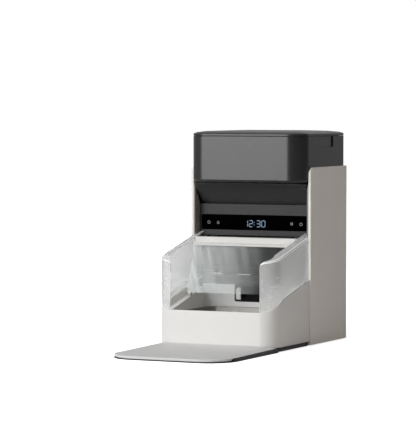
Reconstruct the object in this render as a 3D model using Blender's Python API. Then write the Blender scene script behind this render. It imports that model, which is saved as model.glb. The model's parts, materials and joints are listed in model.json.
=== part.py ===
"""A microchip pet feeder: a hopper on a dark column, a walled bowl base and a sliding clear cover.

Metres, +Z up. +X is the right side seen from the front, +Y is the back.
The origin is the middle of the whole footprint, on the floor.
"""

import math

import bmesh
import bpy
from mathutils import Vector

# Driving dimensions of the whole feeder.
WIDTH = 0.2
PANEL_DEPTH = 0.1398
STEP_REACH = 0.295
BASE_REACH = 0.1273
HOPPER_FLOOR = 0.2457
TANK_HEIGHT = 0.071
TRACK_SLOPE = 0.245

# Fits and general values.
FIT = 0.0003
RUN_GAP = 0.0004
SHAFT_GAP = 0.00008
OVERRUN = 0.004
EDGE = 0.0008
WALL = 0.0025
ARC_STEPS = 6
PLAN_STEPS = 12
SMALL_STEPS = 3
FEW_STEPS = 2
TURN_STEPS = 20
SMALL_TURN_STEPS = 12
CUSP = 0.0001

# Places that the driving dimensions set.
BACK_Y = (PANEL_DEPTH + STEP_REACH) / 2
EDGE_Y = BACK_Y - PANEL_DEPTH
STEP_FRONT_Y = EDGE_Y - STEP_REACH
BASE_FRONT_Y = EDGE_Y - BASE_REACH
TRACK_ANGLE = math.atan(TRACK_SLOPE)
TRACK_RUN = math.cos(TRACK_ANGLE)
TRACK_RISE = math.sin(TRACK_ANGLE)
SEAM_HEIGHT = HOPPER_FLOOR + TANK_HEIGHT
PANEL_OVERLAP = 0.0242
PANEL_TOP = HOPPER_FLOOR + PANEL_OVERLAP

# Levels as shares of the hopper floor's height, and steps down from one to the next.
GUARD_LEVEL_SHARE = 0.66015
RIM_LEVEL_SHARE = 0.4099
FRONT_RIM_SHARE = 0.24093
WELL_FLOOR_SHARE = 0.1004
BAR_STEP = 0.001
BAR_HEIGHT = 0.0132
SHELF_STEP = 0.0149
REAR_WALL_STEP = 0.0105
GUARD_LEVEL = HOPPER_FLOOR * GUARD_LEVEL_SHARE
RIM_LEVEL = HOPPER_FLOOR * RIM_LEVEL_SHARE
FRONT_RIM_Z = HOPPER_FLOOR * FRONT_RIM_SHARE
WELL_FLOOR = HOPPER_FLOOR * WELL_FLOOR_SHARE
BAR_TOP = GUARD_LEVEL + BAR_STEP
BAR_BOTTOM = BAR_TOP - BAR_HEIGHT
SHELF_LEVEL = RIM_LEVEL - SHELF_STEP
REAR_WALL_TOP = RIM_LEVEL - REAR_WALL_STEP

# Side panels.
PANEL_WALL = 0.0045
PANEL_CORNER = 0.012
PANEL_FOOT = 0.002
PANEL_INNER_X = WIDTH / 2 - PANEL_WALL

# Base plate, step tray and step mat.
PLATE_TOP = 0.0075
PLATE_FOOT = 0.001
PLATE_SETBACK = 0.0015
STEP_CORNER = 0.044
TRAY_FRONT_FLOOR = 0.0014
TRAY_REAR_FLOOR = 0.0028
TRAY_WALL = 0.0008
TRAY_DROP = 0.0004
MAT_FRONT_EDGE = 0.0056
MAT_REAR_EDGE = 0.0072
MAT_FRONT_TOP = 0.0062
MAT_REAR_TOP = 0.0104
MAT_MARGIN = 0.012
MAT_ROUND = 0.0012
STEP_TAIL = 0.0193
PAD_POCKET = 0.0014
PAD_WIDTH = 0.012
PAD_INSET = 0.0195
PAD_CORNER = 0.003
PAD_MARGIN = 0.014

# Base housing.
BASE_SETBACK = 0.0025
BASE_HALF = WIDTH / 2 - BASE_SETBACK
STEP_HALF = BASE_HALF - PLATE_SETBACK
PAD_HALF = BASE_HALF - PAD_INSET
BASE_CORNER = 0.0282
BASE_BOTTOM = PLATE_TOP + FIT
RIM_FALL = 0.0053
RIM_SHARE = 0.51
FRONT_STEP = 0.0015
RIM_AND_SHELF = 0.0199
WELL_HALF = BASE_HALF - RIM_AND_SHELF
WELL_CORNER = 0.014
FRONT_RIM = 0.006
WELL_WALL_DROP = 0.001
REAR_WALL_FACE = 0.002
REAR_WALL = 0.0026
BASE_SIDE_SHARES = (0.0, 0.33, 0.66)
BASE_TURN_COUNT = 9

# Food outlet in the well's rear wall.
CHUTE_ROOF_STEP = 0.0024
MOUTH_X = 0.002
MOUTH_HALF = 0.028
MOUTH_SILL = 0.005
MOUTH_FLOOR = FRONT_RIM_Z + MOUTH_SILL
MOUTH_CORNER = 0.003
MOUTH_ROOF = REAR_WALL_TOP - CHUTE_ROOF_STEP

# Clear side guards.
GUARD_WALL = 0.0022
GUARD_FRONT_STEP = 0.0308
GUARD_FRONT_Z = GUARD_LEVEL - GUARD_FRONT_STEP
GUARD_BULGE = 0.0049
GUARD_LIP = 0.0125
GUARD_LIP_WALL = 0.002
GUARD_FLANGE = 0.0098
GUARD_FLANGE_WALL = 0.0014
GUARD_FRONT_FLANGE = 0.0028
GUARD_SET_IN = 0.0003
GUARD_TONGUE = 0.0136
GUARD_TONGUE_INSET = 0.0046
GUARD_END_TURN = 0.905
GUARD_END_ROUND = 0.006
GUARD_END_SHARES = (1.0, 0.5, 0.15, 0.0)
GUARD_TOP_SHARES = (0.0, 0.12, 0.4, 1.0)
GUARD_TOP_RISE_SHARES = (0.0, 0.55, 0.86, 1.0)

# Column: cheeks, front wall, posts, face panel, deck and rear cover.
CHEEK_WALL = 0.0016
CHEEK_OUTER_X = PANEL_INNER_X - FIT
CHEEK_INNER_X = CHEEK_OUTER_X - CHEEK_WALL
CHEEK_FRONT = 0.0003
COVER_PLATE_WALL = 0.0024
REAR_FACE_Y = BACK_Y - FIT
REAR_INNER_Y = REAR_FACE_Y - COVER_PLATE_WALL
CHEEK_BACK_Y = REAR_INNER_Y - FIT
SHELL_HALF = CHEEK_INNER_X - FIT
COLUMN_SETBACK = 0.014
COLUMN_SHEET = 0.002
COLUMN_STEP = 0.0008
COLUMN_TOP = BAR_BOTTOM - COLUMN_STEP
BAY_DEPTH = 0.0075
BAY_STEP = 0.0143
BAY_HEIGHT = 0.0142
BAY_FLOOR = REAR_WALL_TOP + BAY_STEP
BAY_TOP = BAY_FLOOR + BAY_HEIGHT
POST_INSET = 0.0078
POST_WIDTH = 0.0205
POST_OUTER_X = SHELL_HALF - POST_INSET
POST_INNER_X = POST_OUTER_X - POST_WIDTH
POST_FRONT = 0.0098
POST_RISE = 0.0057
POST_TOP = BAY_FLOOR + POST_RISE
FACE_SETBACK = 0.016
FACE_SHEET = 0.0024
FACE_STEP = 0.0009
COVE_HEIGHT = 0.0332
FACE_BOTTOM = BAR_TOP + FACE_STEP
FACE_TOP = HOPPER_FLOOR - COVE_HEIGHT
FACE_LEDGE = 0.01
DECK_SHEET = 0.002
DECK_GAP = 0.0005
DECK_TOP = HOPPER_FLOOR - DECK_GAP
COVE_FRONT = 0.015
COVE_BACK = 0.0255
COVE_PULL_Y_SHARE = 0.57
COVE_PULL_Z_SHARE = 0.24
COVE_STEPS = 8
COVE_TRIM = 0.003

# Display.
DISPLAY_INSET = 0.0038
DISPLAY_MARGIN = 0.0088
DISPLAY_HEIGHT = 0.0227
DISPLAY_HALF = SHELL_HALF - DISPLAY_INSET
DISPLAY_BOTTOM = FACE_BOTTOM + DISPLAY_MARGIN
DISPLAY_TOP = DISPLAY_BOTTOM + DISPLAY_HEIGHT
DISPLAY_CORNER = 0.0022
DISPLAY_SHEET = 0.0012
DISPLAY_PROUD = 0.0002
BOARD_SHEET = 0.0016
DISPLAY_BOARD_INSET = 0.0095
DISPLAY_BOARD_HALF = DISPLAY_HALF - DISPLAY_BOARD_INSET
DISPLAY_BOARD_MARGIN = 0.002

# Hood over the outlet.
HOOD_HALF = POST_INNER_X - FIT - CUSP
HOOD_SHEET = 0.0015
HOOD_FRONT = 0.0016
HOOD_EDGE = 0.0002
HOOD_FOOT_STEP = 0.0008
HOOD_STEP_RISE = 0.0062
HOOD_GROOVE_RISE = 0.0028
HOOD_FOOT = REAR_WALL_TOP + HOOD_FOOT_STEP
HOOD_STEP_Z = HOOD_FOOT + HOOD_STEP_RISE
HOOD_STEP_Y = 0.0055
HOOD_GROOVE_Z = HOOD_STEP_Z + HOOD_GROOVE_RISE
HOOD_GROOVE = 0.0012
HOOD_TOP = BAY_FLOOR - FIT
LATCH_SETBACK = 0.0012
LATCH_END_GAP = 0.0011
LATCH_START_X = HOOD_HALF - LATCH_END_GAP
LATCH_LENGTH = 0.0115
LATCH_DEPTH = 0.005
LATCH_HEIGHT = 0.0022
LATCH_ROUND = 0.0018

# Sliding cover.
COVER_SIDE_ROOM = 0.0142
COVER_HALF = BASE_HALF - COVER_SIDE_ROOM
BAR_FRONT = 0.02
BAR_SHEET = 0.0024
BAR_TOP_SHEET = 0.0022
BAR_BACK = 0.0085
BAR_LIP_REACH = 0.0066
BAR_LIP_DROP = 0.0085
BAR_NOSE_DROP = 0.0106
BAR_LIP_TOP = BAR_TOP - BAR_LIP_DROP
BAR_LIP_NOSE = BAR_TOP - BAR_NOSE_DROP
SLOT_PLACE_SHARES = (-0.372, 0.0, 0.384, 0.816)
SLOT_HALVES_X = (0.0032, 0.0032, 0.0032, 0.0055)
SLOT_WIDTH = 0.0034
SLOT_FLOOR = 0.0008
SLOT_FROM_NOSE = 0.0014
FLAP_WALL = 0.002
FLAP_TOP_Y = 0.0257
FLAP_BOTTOM_Y = 0.0515
FLAP_LIFT = 0.0068
FLAP_BOTTOM_Z = SHELF_LEVEL - TRACK_SLOPE * FLAP_BOTTOM_Y + FLAP_LIFT
WING_WALL = 0.0018
WING_BACK_Y = 0.0238
GLIDE_RADIUS = 0.003
GLIDE_WIDTH = 0.0034
GLIDE_Y = 0.046
GLIDE_BOSS = 0.0024
ROOF_WALL = 0.0016
ROOF_STEP = 0.0014
ROOF_LEVEL_FRONT = BAR_BOTTOM + ROOF_STEP
ROOF_SIDE_STEP = 0.0008
ROOF_HALF = COVER_HALF - ROOF_SIDE_STEP
ROOF_BACK_ROOM = 0.0441
ROOF_BACK = PANEL_DEPTH - ROOF_BACK_ROOM
RACK_INSET = 0.0062
RACK_INNER_X = ROOF_HALF - RACK_INSET
RACK_WIDTH = 0.0038
RACK_BODY = 0.003
RACK_FRONT = 0.012
RAIL_START = 0.0192
RAIL_FLOOR = 0.0018
RAIL_GRIP = 0.0019
RAIL_REACH_X = ROOF_HALF - RAIL_GRIP
RAIL_GROOVE_SIDE = 0.0005

# Gear teeth that the racks, pinions and gears share.
TOOTH_PITCH = 0.00314
ADDENDUM = 0.00085
DEDENDUM = 0.0012
TOOTH_TIP_SHARE = 0.26
TOOTH_ROOT_SHARE = 0.58
MESH_GAP = 0.0001
PINION_TEETH = 16
DRIVE_TEETH = 20
MOTOR_TEETH = 12
ROTOR_TEETH = 30

# Cover drive and motors.
MOTOR_SHAFT_RADIUS = 0.001
MOTOR_BOSS = 0.0016
MOTOR_BOSS_RADIUS = 0.0028
DRIVE_CONTACT_Y = 0.034
DRIVE_SHAFT_RADIUS = 0.0025
DRIVE_SHAFT_END = 0.0008
BEARING_RADIUS = 0.005
BEARING_WIDTH = 0.0065
DRIVE_GEAR_INSET = 0.0158
DRIVE_GEAR_X = RACK_INNER_X - DRIVE_GEAR_INSET
GEAR_WIDTH = 0.005
PINION_EXTRA = 0.001
MOTOR_ANGLE = math.radians(-40)
DRIVE_MOTOR_RADIUS = 0.0065
MOTOR_GAP = 0.0028

# Dispenser.
ROTOR_BACK_ROOM = 0.0266
ROTOR_SETBACK = PANEL_DEPTH - ROTOR_BACK_ROOM
ROTOR_DROP = 0.0305
ROTOR_Z = HOPPER_FLOOR - ROTOR_DROP
DRUM_BORE = 0.0205
DRUM_WALL = 0.0025
DRUM_HALF = 0.0302
DRUM_END = 0.0028
ROTOR_HUB = 0.0072
ROTOR_TIP = 0.02
ROTOR_BLADES = 6
BLADE_WALL = 0.0026
ROTOR_HALF = 0.0296
ROTOR_SHAFT = 0.003
ROTOR_SHAFT_LEFT = 0.036
ROTOR_SHAFT_RIGHT = 0.0465
ROTOR_GEAR_X = 0.0405
FEED_MOTOR_RADIUS = 0.012
INLET_HALF_X = 0.0285
INLET_HALF_Y = 0.0135
COLLAR_WALL = 0.0022
OUTLET_HALF_X = 0.028
OUTLET_HALF_Y = 0.012
OUTLET_DROP = 0.0248
OUTLET_BOTTOM = ROTOR_Z - OUTLET_DROP
CHUTE_WALL = 0.002
CHUTE_START = 0.0009
CHUTE_APRON = 0.026
CHUTE_APRON_RISE = 0.017
CHUTE_APRON_ROOM = 0.019
CHUTE_BEND_DROP = 0.0212
CHUTE_BEND_LEAN = 0.007
CHUTE_APRON_FLOOR = MOUTH_FLOOR + CHUTE_APRON_RISE
CHUTE_APRON_ROOF = CHUTE_APRON_FLOOR + CHUTE_APRON_ROOM
CHUTE_BEND_ROOF = OUTLET_BOTTOM - CHUTE_BEND_DROP
CHUTE_BEND_FLOOR = CHUTE_BEND_ROOF - CHUTE_BEND_LEAN
CHUTE_SIDE = 0.0004
SENSOR_WIDTH = 0.0082
SENSOR_DEPTH = 0.0034
SENSOR_ROUND = 0.0012
SENSOR_BODY = 0.014
SENSOR_RING = 0.0036
SENSOR_RING_BORE = 0.0016
SENSOR_RING_OUTER = 0.0036

# Hopper, lid and what the lid carries.
HOPPER_REACH = 0.0222
HOPPER_CORNER = 0.0265
HOPPER_REAR_CORNER = 0.0012
HOPPER_ROUND = 0.0048
HOPPER_WALL = 0.0024
HOPPER_HALF = PANEL_INNER_X - FIT
NOTCH_FRONT = 0.0435
NOTCH_BACK = 0.0967
NOTCH_HEIGHT = 0.0172
NOTCH_FLOOR = SEAM_HEIGHT - NOTCH_HEIGHT
NOTCH_DEPTH = 0.0034
NOTCH_CORNER = 0.003
SPOUT_LENGTH = 0.006
SPOUT_FOOT = HOPPER_FLOOR - SPOUT_LENGTH
SPOUT_WALL = 0.0018
FUNNEL_DROP = 0.0335
FUNNEL_TOP = SEAM_HEIGHT - FUNNEL_DROP
FUNNEL_WALL = 0.0018
FUNNEL_FOOT_GAP = 0.0006
LID_BAND = 0.0031
LID_RISE = 0.0085
LID_TOP = SEAM_HEIGHT + LID_RISE
LID_INSET_SHARES = (0.0, 0.0, 0.024, 0.072, 0.24, 0.6, 0.96)
LID_RISE_SHARES = (0.0, 0.36, 0.5, 0.66, 0.85, 0.96, 1.0)
LID_SKIRT = 0.0085
LID_SKIRT_WALL = 0.002
LID_SKIRT_GAP = 0.0022
LID_SHELL = 0.0022
SEAL_HEIGHT = 0.003
SEAL_DROP = 0.0035
CUP_RADIUS = 0.03
CUP_HEIGHT = 0.011
CUP_WALL = 0.0016
CUP_SETBACK = 0.06

# Bowl.
BOWL_SIDE_ROOM = 0.0104
BOWL_FRONT_ROOM = 0.0118
BOWL_RIM_DROP = 0.0025
BOWL_HALF = WELL_HALF - BOWL_SIDE_ROOM
BOWL_FRONT = BASE_REACH - BOWL_FRONT_ROOM
BOWL_BACK = 0.0046
BOWL_RIM_Z = FRONT_RIM_Z - BOWL_RIM_DROP
BOWL_DEPTH = 0.02
BOWL_SHEET = 0.0009
BOWL_FLANGE = 0.0042
BOWL_CORNER = 0.018
BOWL_TAPER = 0.006
BOWL_FLOOR_ROUND = 0.003
SEAT_INSET = 0.0008
SEAT_WALL = 0.002

# Antenna board, battery box, rear cover and inlet.
ANTENNA_MARGIN = 0.006
ANTENNA_BAND = 0.012
ANTENNA_CORNER = 0.0035
BATTERY_HALF = 0.053
BATTERY_CELL_ROOM = 0.0635
BATTERY_DEPTH = 0.036
BATTERY_WALL = 0.002
BATTERY_LIP = 0.003
CONTACT_SHEET = 0.0006
CONTACT_MARGIN = 0.004
GRIP_HALF = 0.012
GRIP_HEIGHT = 0.003
GRIP_DEPTH = 0.0012
GRIP_DROP = 0.008
INLET_INSET = 0.0176
INLET_X = CHEEK_INNER_X - INLET_INSET
INLET_Z = 0.03
INLET_RADIUS = 0.0055
INLET_BORE = 0.0031
INLET_PIN = 0.001
INLET_DEPTH = 0.012
INLET_BORE_DEPTH = 0.009
SCREW_INSET = 0.0075
SCREW_DROP = 0.0437
SCREW_Z = PANEL_TOP - SCREW_DROP
SCREW_HEAD = 0.0029
SCREW_HEAD_HEIGHT = 0.0014
SCREW_SHANK = 0.0013
SCREW_LENGTH = 0.009
SCREW_SOCKET = 0.0013
SCREW_SOCKET_DEPTH = 0.0009
BOSS_SIDE = 0.0105
BOSS_DEPTH = 0.012
VENT_COUNT = 7
VENT_PITCH = 0.006
VENT_HALF = 0.03
VENT_WIDTH = 0.0024
VENT_BASE_SHARE = 0.6154
VENT_BASE_Z = HOPPER_FLOOR * VENT_BASE_SHARE

# Places that follow from the sizes above.
ROTOR_Y = EDGE_Y + ROTOR_SETBACK
SPOUT_HALF_X = INLET_HALF_X - RUN_GAP
SPOUT_HALF_Y = INLET_HALF_Y - RUN_GAP
ROOF_LEVEL = ROOF_LEVEL_FRONT + TRACK_SLOPE * (BAR_FRONT - BAR_SHEET)
RACK_DROP = FIT + RACK_BODY + DEDENDUM
DRIVE_POINT_Y = EDGE_Y + DRIVE_CONTACT_Y + RACK_DROP * TRACK_RISE
DRIVE_POINT_Z = ROOF_LEVEL + TRACK_SLOPE * DRIVE_CONTACT_Y - RACK_DROP * TRACK_RUN
DRIVE_REACH = PINION_TEETH * TOOTH_PITCH / math.tau + MESH_GAP
DRIVE_Y = DRIVE_POINT_Y + DRIVE_REACH * TRACK_RISE
DRIVE_Z = DRIVE_POINT_Z - DRIVE_REACH * TRACK_RUN

# Colour (linear), roughness and metallic value of each finish.
FINISHES = {
    "white_shell": ((0.74, 0.72, 0.69, 1.0), 0.45, 0.0),
    "dark_shell": ((0.045, 0.045, 0.047, 1.0), 0.5, 0.0),
    "black_gloss": ((0.004, 0.004, 0.005, 1.0), 0.08, 0.0),
    "clear_sheet": ((0.86, 0.88, 0.89, 1.0), 0.12, 0.0),
    "grey_mat": ((0.47, 0.47, 0.47, 1.0), 0.7, 0.0),
    "rubber": ((0.02, 0.02, 0.02, 1.0), 0.8, 0.0),
    "steel": ((0.62, 0.61, 0.59, 1.0), 0.28, 1.0),
    "white_nylon": ((0.80, 0.80, 0.78, 1.0), 0.4, 0.0),
    "board": ((0.02, 0.12, 0.05, 1.0), 0.45, 0.0),
    "brass": ((0.70, 0.50, 0.22, 1.0), 0.35, 1.0),
}


def clear_scene():
    """Remove whatever the open file holds."""
    for old in list(bpy.data.objects):
        bpy.data.objects.remove(old, do_unlink=True)


def paint(piece, finish):
    """Give a piece its own material from the table of finishes."""
    colour, roughness, metallic = FINISHES[finish]
    material = bpy.data.materials.new(f"{piece.name}_{finish}")
    material.use_nodes = True
    shader = material.node_tree.nodes["Principled BSDF"]
    shader.inputs["Base Color"].default_value = colour
    shader.inputs["Roughness"].default_value = roughness
    shader.inputs["Metallic"].default_value = metallic
    piece.data.materials.append(material)


def piece_from(name, shape, finish=None):
    """Turn a bmesh into an object with outward faces; one without a finish is a cutter."""
    bmesh.ops.remove_doubles(shape, verts=shape.verts, dist=1e-7)
    bmesh.ops.recalc_face_normals(shape, faces=shape.faces)
    mesh = bpy.data.meshes.new(name)
    shape.to_mesh(mesh)
    shape.free()
    mesh.set_sharp_from_angle(angle=math.radians(32))
    piece = bpy.data.objects.new(name, mesh)
    bpy.context.scene.collection.objects.link(piece)
    if finish:
        paint(piece, finish)
    else:
        piece.hide_render = True
        piece.display_type = "WIRE"
    return piece


def combine(piece, other, operation):
    """Cut, join or trim one piece with another, which then only guides."""
    step = piece.modifiers.new(other.name, "BOOLEAN")
    step.operation = operation
    step.solver = "EXACT"
    step.object = other
    other.hide_render = True
    other.display_type = "WIRE"


def cut(piece, cutter):
    combine(piece, cutter, "DIFFERENCE")


def fuse(piece, other):
    combine(piece, other, "UNION")


def trim(piece, limit):
    combine(piece, limit, "INTERSECT")


def soften(piece, width, segments=1):
    """Round the sharp edges of a piece by a bevel."""
    step = piece.modifiers.new("edges", "BEVEL")
    step.width = width
    step.segments = segments
    step.limit_method = "ANGLE"
    step.angle_limit = math.radians(40)


def along(axis, flat, depth):
    """A point of a flat outline set at a depth along an axis."""
    u, v = flat
    if axis == "X":
        return Vector((depth, u, v))
    if axis == "Y":
        return Vector((u, depth, v))
    return Vector((u, v, depth))


def prism(name, axis, outline, start, stop, finish=None):
    """A straight solid: a flat outline pushed along an axis."""
    shape = bmesh.new()
    corners = [shape.verts.new(along(axis, flat, start)) for flat in outline]
    face = shape.faces.new(corners)
    grown = bmesh.ops.extrude_face_region(shape, geom=[face])
    moved = [item for item in grown["geom"] if isinstance(item, bmesh.types.BMVert)]
    bmesh.ops.translate(shape, verts=moved, vec=along(axis, (0, 0), stop - start))
    return piece_from(name, shape, finish)


def box(name, low, high, finish=None):
    """A box between two opposite corners."""
    outline = [(low[0], low[1]), (high[0], low[1]), (high[0], high[1]), (low[0], high[1])]
    return prism(name, "Z", outline, low[2], high[2], finish)


def arc(centre, radius, start, stop, steps=ARC_STEPS):
    """Points of an arc in a flat outline, angles in turns of a quarter."""
    points = []
    for count in range(steps + 1):
        angle = math.pi / 2 * (start + (stop - start) * count / steps)
        points.append((centre[0] + radius * math.cos(angle), centre[1] + radius * math.sin(angle)))
    return points


def rounded(low, high, radii, steps=ARC_STEPS, high_steps=None):
    """A rectangle with rounded corners, from the low-low corner anticlockwise."""
    high_steps = high_steps or steps
    corners = (
        (low[0] + radii[0], low[1] + radii[0], 2, steps),
        (high[0] - radii[1], low[1] + radii[1], 3, steps),
        (high[0] - radii[2], high[1] - radii[2], 0, high_steps),
        (low[0] + radii[3], high[1] - radii[3], 1, high_steps),
    )
    points = []
    for radius, (x, y, turn, count) in zip(radii, corners):
        points += arc((x, y), radius, turn, turn + 1, count)
    return points


def even(low, high, radius, steps=ARC_STEPS):
    """A rectangle with four equal rounded corners."""
    return rounded(low, high, (radius,) * 4, steps)


def plan(half, front, back, front_corner, back_corner, inset=0.0):
    """A plan outline of the body, drawn in by an inset."""
    front_radius = max(front_corner - inset, CUSP)
    back_radius = max(back_corner - inset, CUSP)
    radii = (front_radius, front_radius, back_radius, back_radius)
    low = (-half + inset, front + inset)
    high = (half - inset, back - inset)
    back_steps = PLAN_STEPS if back_corner > EDGE * 2 else 1
    return rounded(low, high, radii, PLAN_STEPS, back_steps)


def skin(name, rings, finish=None, closed=False):
    """Bridge a row of rings; the ends are capped, or the last ring meets the first."""
    shape = bmesh.new()
    rows = [[shape.verts.new(point) for point in ring] for ring in rings]
    pairs = list(zip(rows, rows[1:]))
    if closed:
        pairs.append((rows[-1], rows[0]))
    else:
        shape.faces.new(rows[0])
        shape.faces.new(rows[-1])
    for first, second in pairs:
        for count in range(len(first)):
            after = (count + 1) % len(first)
            shape.faces.new((first[count], first[after], second[after], second[count]))
    return piece_from(name, shape, finish)


def stack(name, layers, finish=None, closed=False):
    """Bridge level plan outlines given as (outline, height)."""
    rings = [[Vector((x, y, z)) for x, y in outline] for outline, z in layers]
    return skin(name, rings, finish, closed)


def turned(name, axis, profile, place, finish=None, steps=TURN_STEPS):
    """A solid of revolution: profile points are (radius, place along the axis)."""
    shape = bmesh.new()
    points = [shape.verts.new(along(axis, (radius, 0), depth)) for radius, depth in profile]
    edges = [shape.edges.new(pair) for pair in zip(points, points[1:] + points[:1])]
    bmesh.ops.spin(
        shape,
        geom=points + edges,
        cent=(0, 0, 0),
        axis=along(axis, (0, 0), 1),
        angle=math.tau,
        steps=steps,
        use_merge=True,
    )
    flat = [face for face in shape.faces if face.calc_area() < 1e-14]
    bmesh.ops.delete(shape, geom=flat, context="FACES")
    piece = piece_from(name, shape, finish)
    piece.location = place
    return piece


def circle(radius, steps=TURN_STEPS):
    """Points of a circle in a flat outline."""
    return arc((0, 0), radius, 0, 4 - 4 / steps, steps - 1)


def rod(name, axis, radius, start, stop, place, finish=None):
    """A round bar along an axis."""
    bar = prism(name, axis, circle(radius), start, stop, finish)
    bar.location = place
    return bar


def track_z(level, y):
    """Height on a line parallel to the cover's track; the level is at the panels' front edges."""
    return level + TRACK_SLOPE * (y - EDGE_Y)


def blend(start, stop, share):
    return start + (stop - start) * share


def pitch_radius(teeth):
    return teeth * TOOTH_PITCH / math.tau


def gear_outline(teeth, phase):
    """Straight-sided teeth round a pitch circle; a tooth is centred on the phase angle."""
    radius = pitch_radius(teeth)
    root = radius - DEDENDUM
    tip = radius + ADDENDUM
    turn = math.tau / teeth
    points = []
    for count in range(teeth):
        middle = phase + turn * count
        rising = ((root, -TOOTH_ROOT_SHARE), (tip, -TOOTH_TIP_SHARE))
        falling = ((tip, TOOTH_TIP_SHARE), (root, TOOTH_ROOT_SHARE))
        for reach, share in rising + falling:
            angle = middle + share * turn / 2
            points.append((reach * math.cos(angle), reach * math.sin(angle)))
    return points


def gear(name, teeth, phase, start, stop, place, bore, finish):
    """A spur gear across the feeder, bored for its shaft."""
    wheel = prism(name, "X", gear_outline(teeth, phase), start, stop, finish)
    wheel.location = place
    drill = rod(f"{name}_bore", "X", bore, start - OVERRUN, stop + OVERRUN, place)
    cut(wheel, drill)
    return wheel


def carry(name, place, pieces):
    """Parent pieces to an empty that stands on their joint's axis."""
    frame = bpy.data.objects.new(name, None)
    frame.location = place
    frame.empty_display_size = GLIDE_RADIUS
    bpy.context.scene.collection.objects.link(frame)
    for piece in pieces:
        piece.location = piece.location - frame.location
        piece.parent = frame


def side_panels():
    """Flat outer panels with a rounded front top corner."""
    low = (EDGE_Y, PANEL_FOOT)
    high = (BACK_Y, PANEL_TOP)
    outline = [low, (high[0], low[1]), high]
    outline += arc((low[0] + PANEL_CORNER, high[1] - PANEL_CORNER), PANEL_CORNER, 1, 2)
    for side, name in ((-1, "side_panel_left"), (1, "side_panel_right")):
        panel = prism(name, "X", outline, side * PANEL_INNER_X, side * WIDTH / 2, "white_shell")
        soften(panel, EDGE, 2)


def base_outline(inset, back):
    """The base's plan from the front to a given line at the back."""
    return plan(BASE_HALF, BASE_FRONT_Y, back, BASE_CORNER, CUSP, inset)


def pad(name, carrier, middle_y, half):
    """A rubber strip let into the underside of its carrier."""
    low = (-half, middle_y - PAD_WIDTH / 2)
    high = (half, middle_y + PAD_WIDTH / 2)
    room = even((low[0] - FIT, low[1] - FIT), (high[0] + FIT, high[1] + FIT), PAD_CORNER, FEW_STEPS)
    cut(carrier, prism(f"{name}_pocket", "Z", room, -OVERRUN, PAD_POCKET + FIT))
    prism(name, "Z", even(low, high, PAD_CORNER, FEW_STEPS), 0, PAD_POCKET, "rubber")


def base_plate():
    """Dark plate under the base and the column, on two rubber strips."""
    back = REAR_INNER_Y - FIT
    front = BASE_FRONT_Y + PLATE_SETBACK
    half = BASE_HALF - PLATE_SETBACK
    corner = BASE_CORNER - PLATE_SETBACK
    step = EDGE_Y - RUN_GAP
    outline = arc((-half + corner, front + corner), corner, 2, 3)
    outline += arc((half - corner, front + corner), corner, 3, 4)
    outline += [(half, step), (SHELL_HALF, step), (SHELL_HALF, back)]
    outline += [(-SHELL_HALF, back), (-SHELL_HALF, step), (-half, step)]
    plate = prism("base_plate", "Z", outline, PLATE_FOOT, PLATE_TOP, "dark_shell")
    soften(plate, EDGE)
    pad("front_pad", plate, BASE_FRONT_Y + PAD_MARGIN + PAD_WIDTH, PAD_HALF)
    pad("rear_pad", plate, back - PAD_MARGIN, PAD_HALF)


def step_surface(y, front_height, rear_height):
    """Height of the wedge that the step lies on."""
    share = (y - STEP_FRONT_Y) / (BASE_FRONT_Y - STEP_FRONT_Y)
    return blend(front_height, rear_height, share)


def step_layer(side_inset, front_inset, front_height, rear_height):
    """One sloped plan outline of the step."""
    back = BASE_FRONT_Y + STEP_TAIL
    front = STEP_FRONT_Y + front_inset
    outline = plan(STEP_HALF - side_inset, front, back, STEP_CORNER, CUSP)
    return [Vector((x, y, step_surface(y, front_height, rear_height))) for x, y in outline]


def mat_layer(inset, front_height, rear_height):
    """One sloped plan outline of the mat, which lies within the tray's side walls."""
    return step_layer(TRAY_WALL + FIT + inset, inset, front_height, rear_height)


def step_tray():
    """Dark wedge tray, open at the front, with thin walls beside the mat."""
    outer = [
        step_layer(0.0, 0.0, 0.0, 0.0),
        step_layer(0.0, 0.0, MAT_FRONT_EDGE - TRAY_DROP, MAT_REAR_EDGE - TRAY_DROP),
    ]
    tray = skin("step_tray", outer, "dark_shell")
    room = [
        step_layer(TRAY_WALL, -OVERRUN, TRAY_FRONT_FLOOR, TRAY_REAR_FLOOR),
        step_layer(TRAY_WALL, -OVERRUN, MAT_FRONT_EDGE + OVERRUN, MAT_REAR_EDGE + OVERRUN),
    ]
    cut(tray, skin("tray_room", room))
    return tray


def step_mat():
    """Grey mat with a rounded edge and a crown that rises towards the base."""
    foot_front = TRAY_FRONT_FLOOR + FIT
    foot_rear = TRAY_REAR_FLOOR + FIT
    layers = [
        mat_layer(MAT_ROUND / 2, foot_front, foot_rear),
        mat_layer(0.0, foot_front + MAT_ROUND / 2, foot_rear + MAT_ROUND / 2),
        mat_layer(0.0, MAT_FRONT_EDGE - MAT_ROUND, MAT_REAR_EDGE - MAT_ROUND),
        mat_layer(MAT_ROUND / 3, MAT_FRONT_EDGE - MAT_ROUND / 3, MAT_REAR_EDGE - MAT_ROUND / 3),
        mat_layer(MAT_ROUND, MAT_FRONT_EDGE, MAT_REAR_EDGE),
        mat_layer(MAT_MARGIN, MAT_FRONT_TOP, MAT_REAR_TOP),
    ]
    return skin("step_mat", layers, "grey_mat")


def step_pieces():
    """Mat and tray, both cut back round the base's front corners."""
    room = base_outline(-FIT - CUSP, EDGE_Y)
    for piece in (step_tray(), step_mat()):
        cut(piece, prism(f"{piece.name}_room", "Z", room, -OVERRUN, PLATE_TOP + OVERRUN))


def corner_turns():
    """Shares of the front corner's turn at which both base and guard have a station."""
    turn_length = BASE_CORNER * math.pi / 2
    end = [GUARD_END_TURN - share * GUARD_END_ROUND / turn_length for share in GUARD_END_SHARES]
    plain = [end[0] * count / BASE_TURN_COUNT for count in range(BASE_TURN_COUNT)]
    return [*plain, *end, 1.0]


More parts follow.
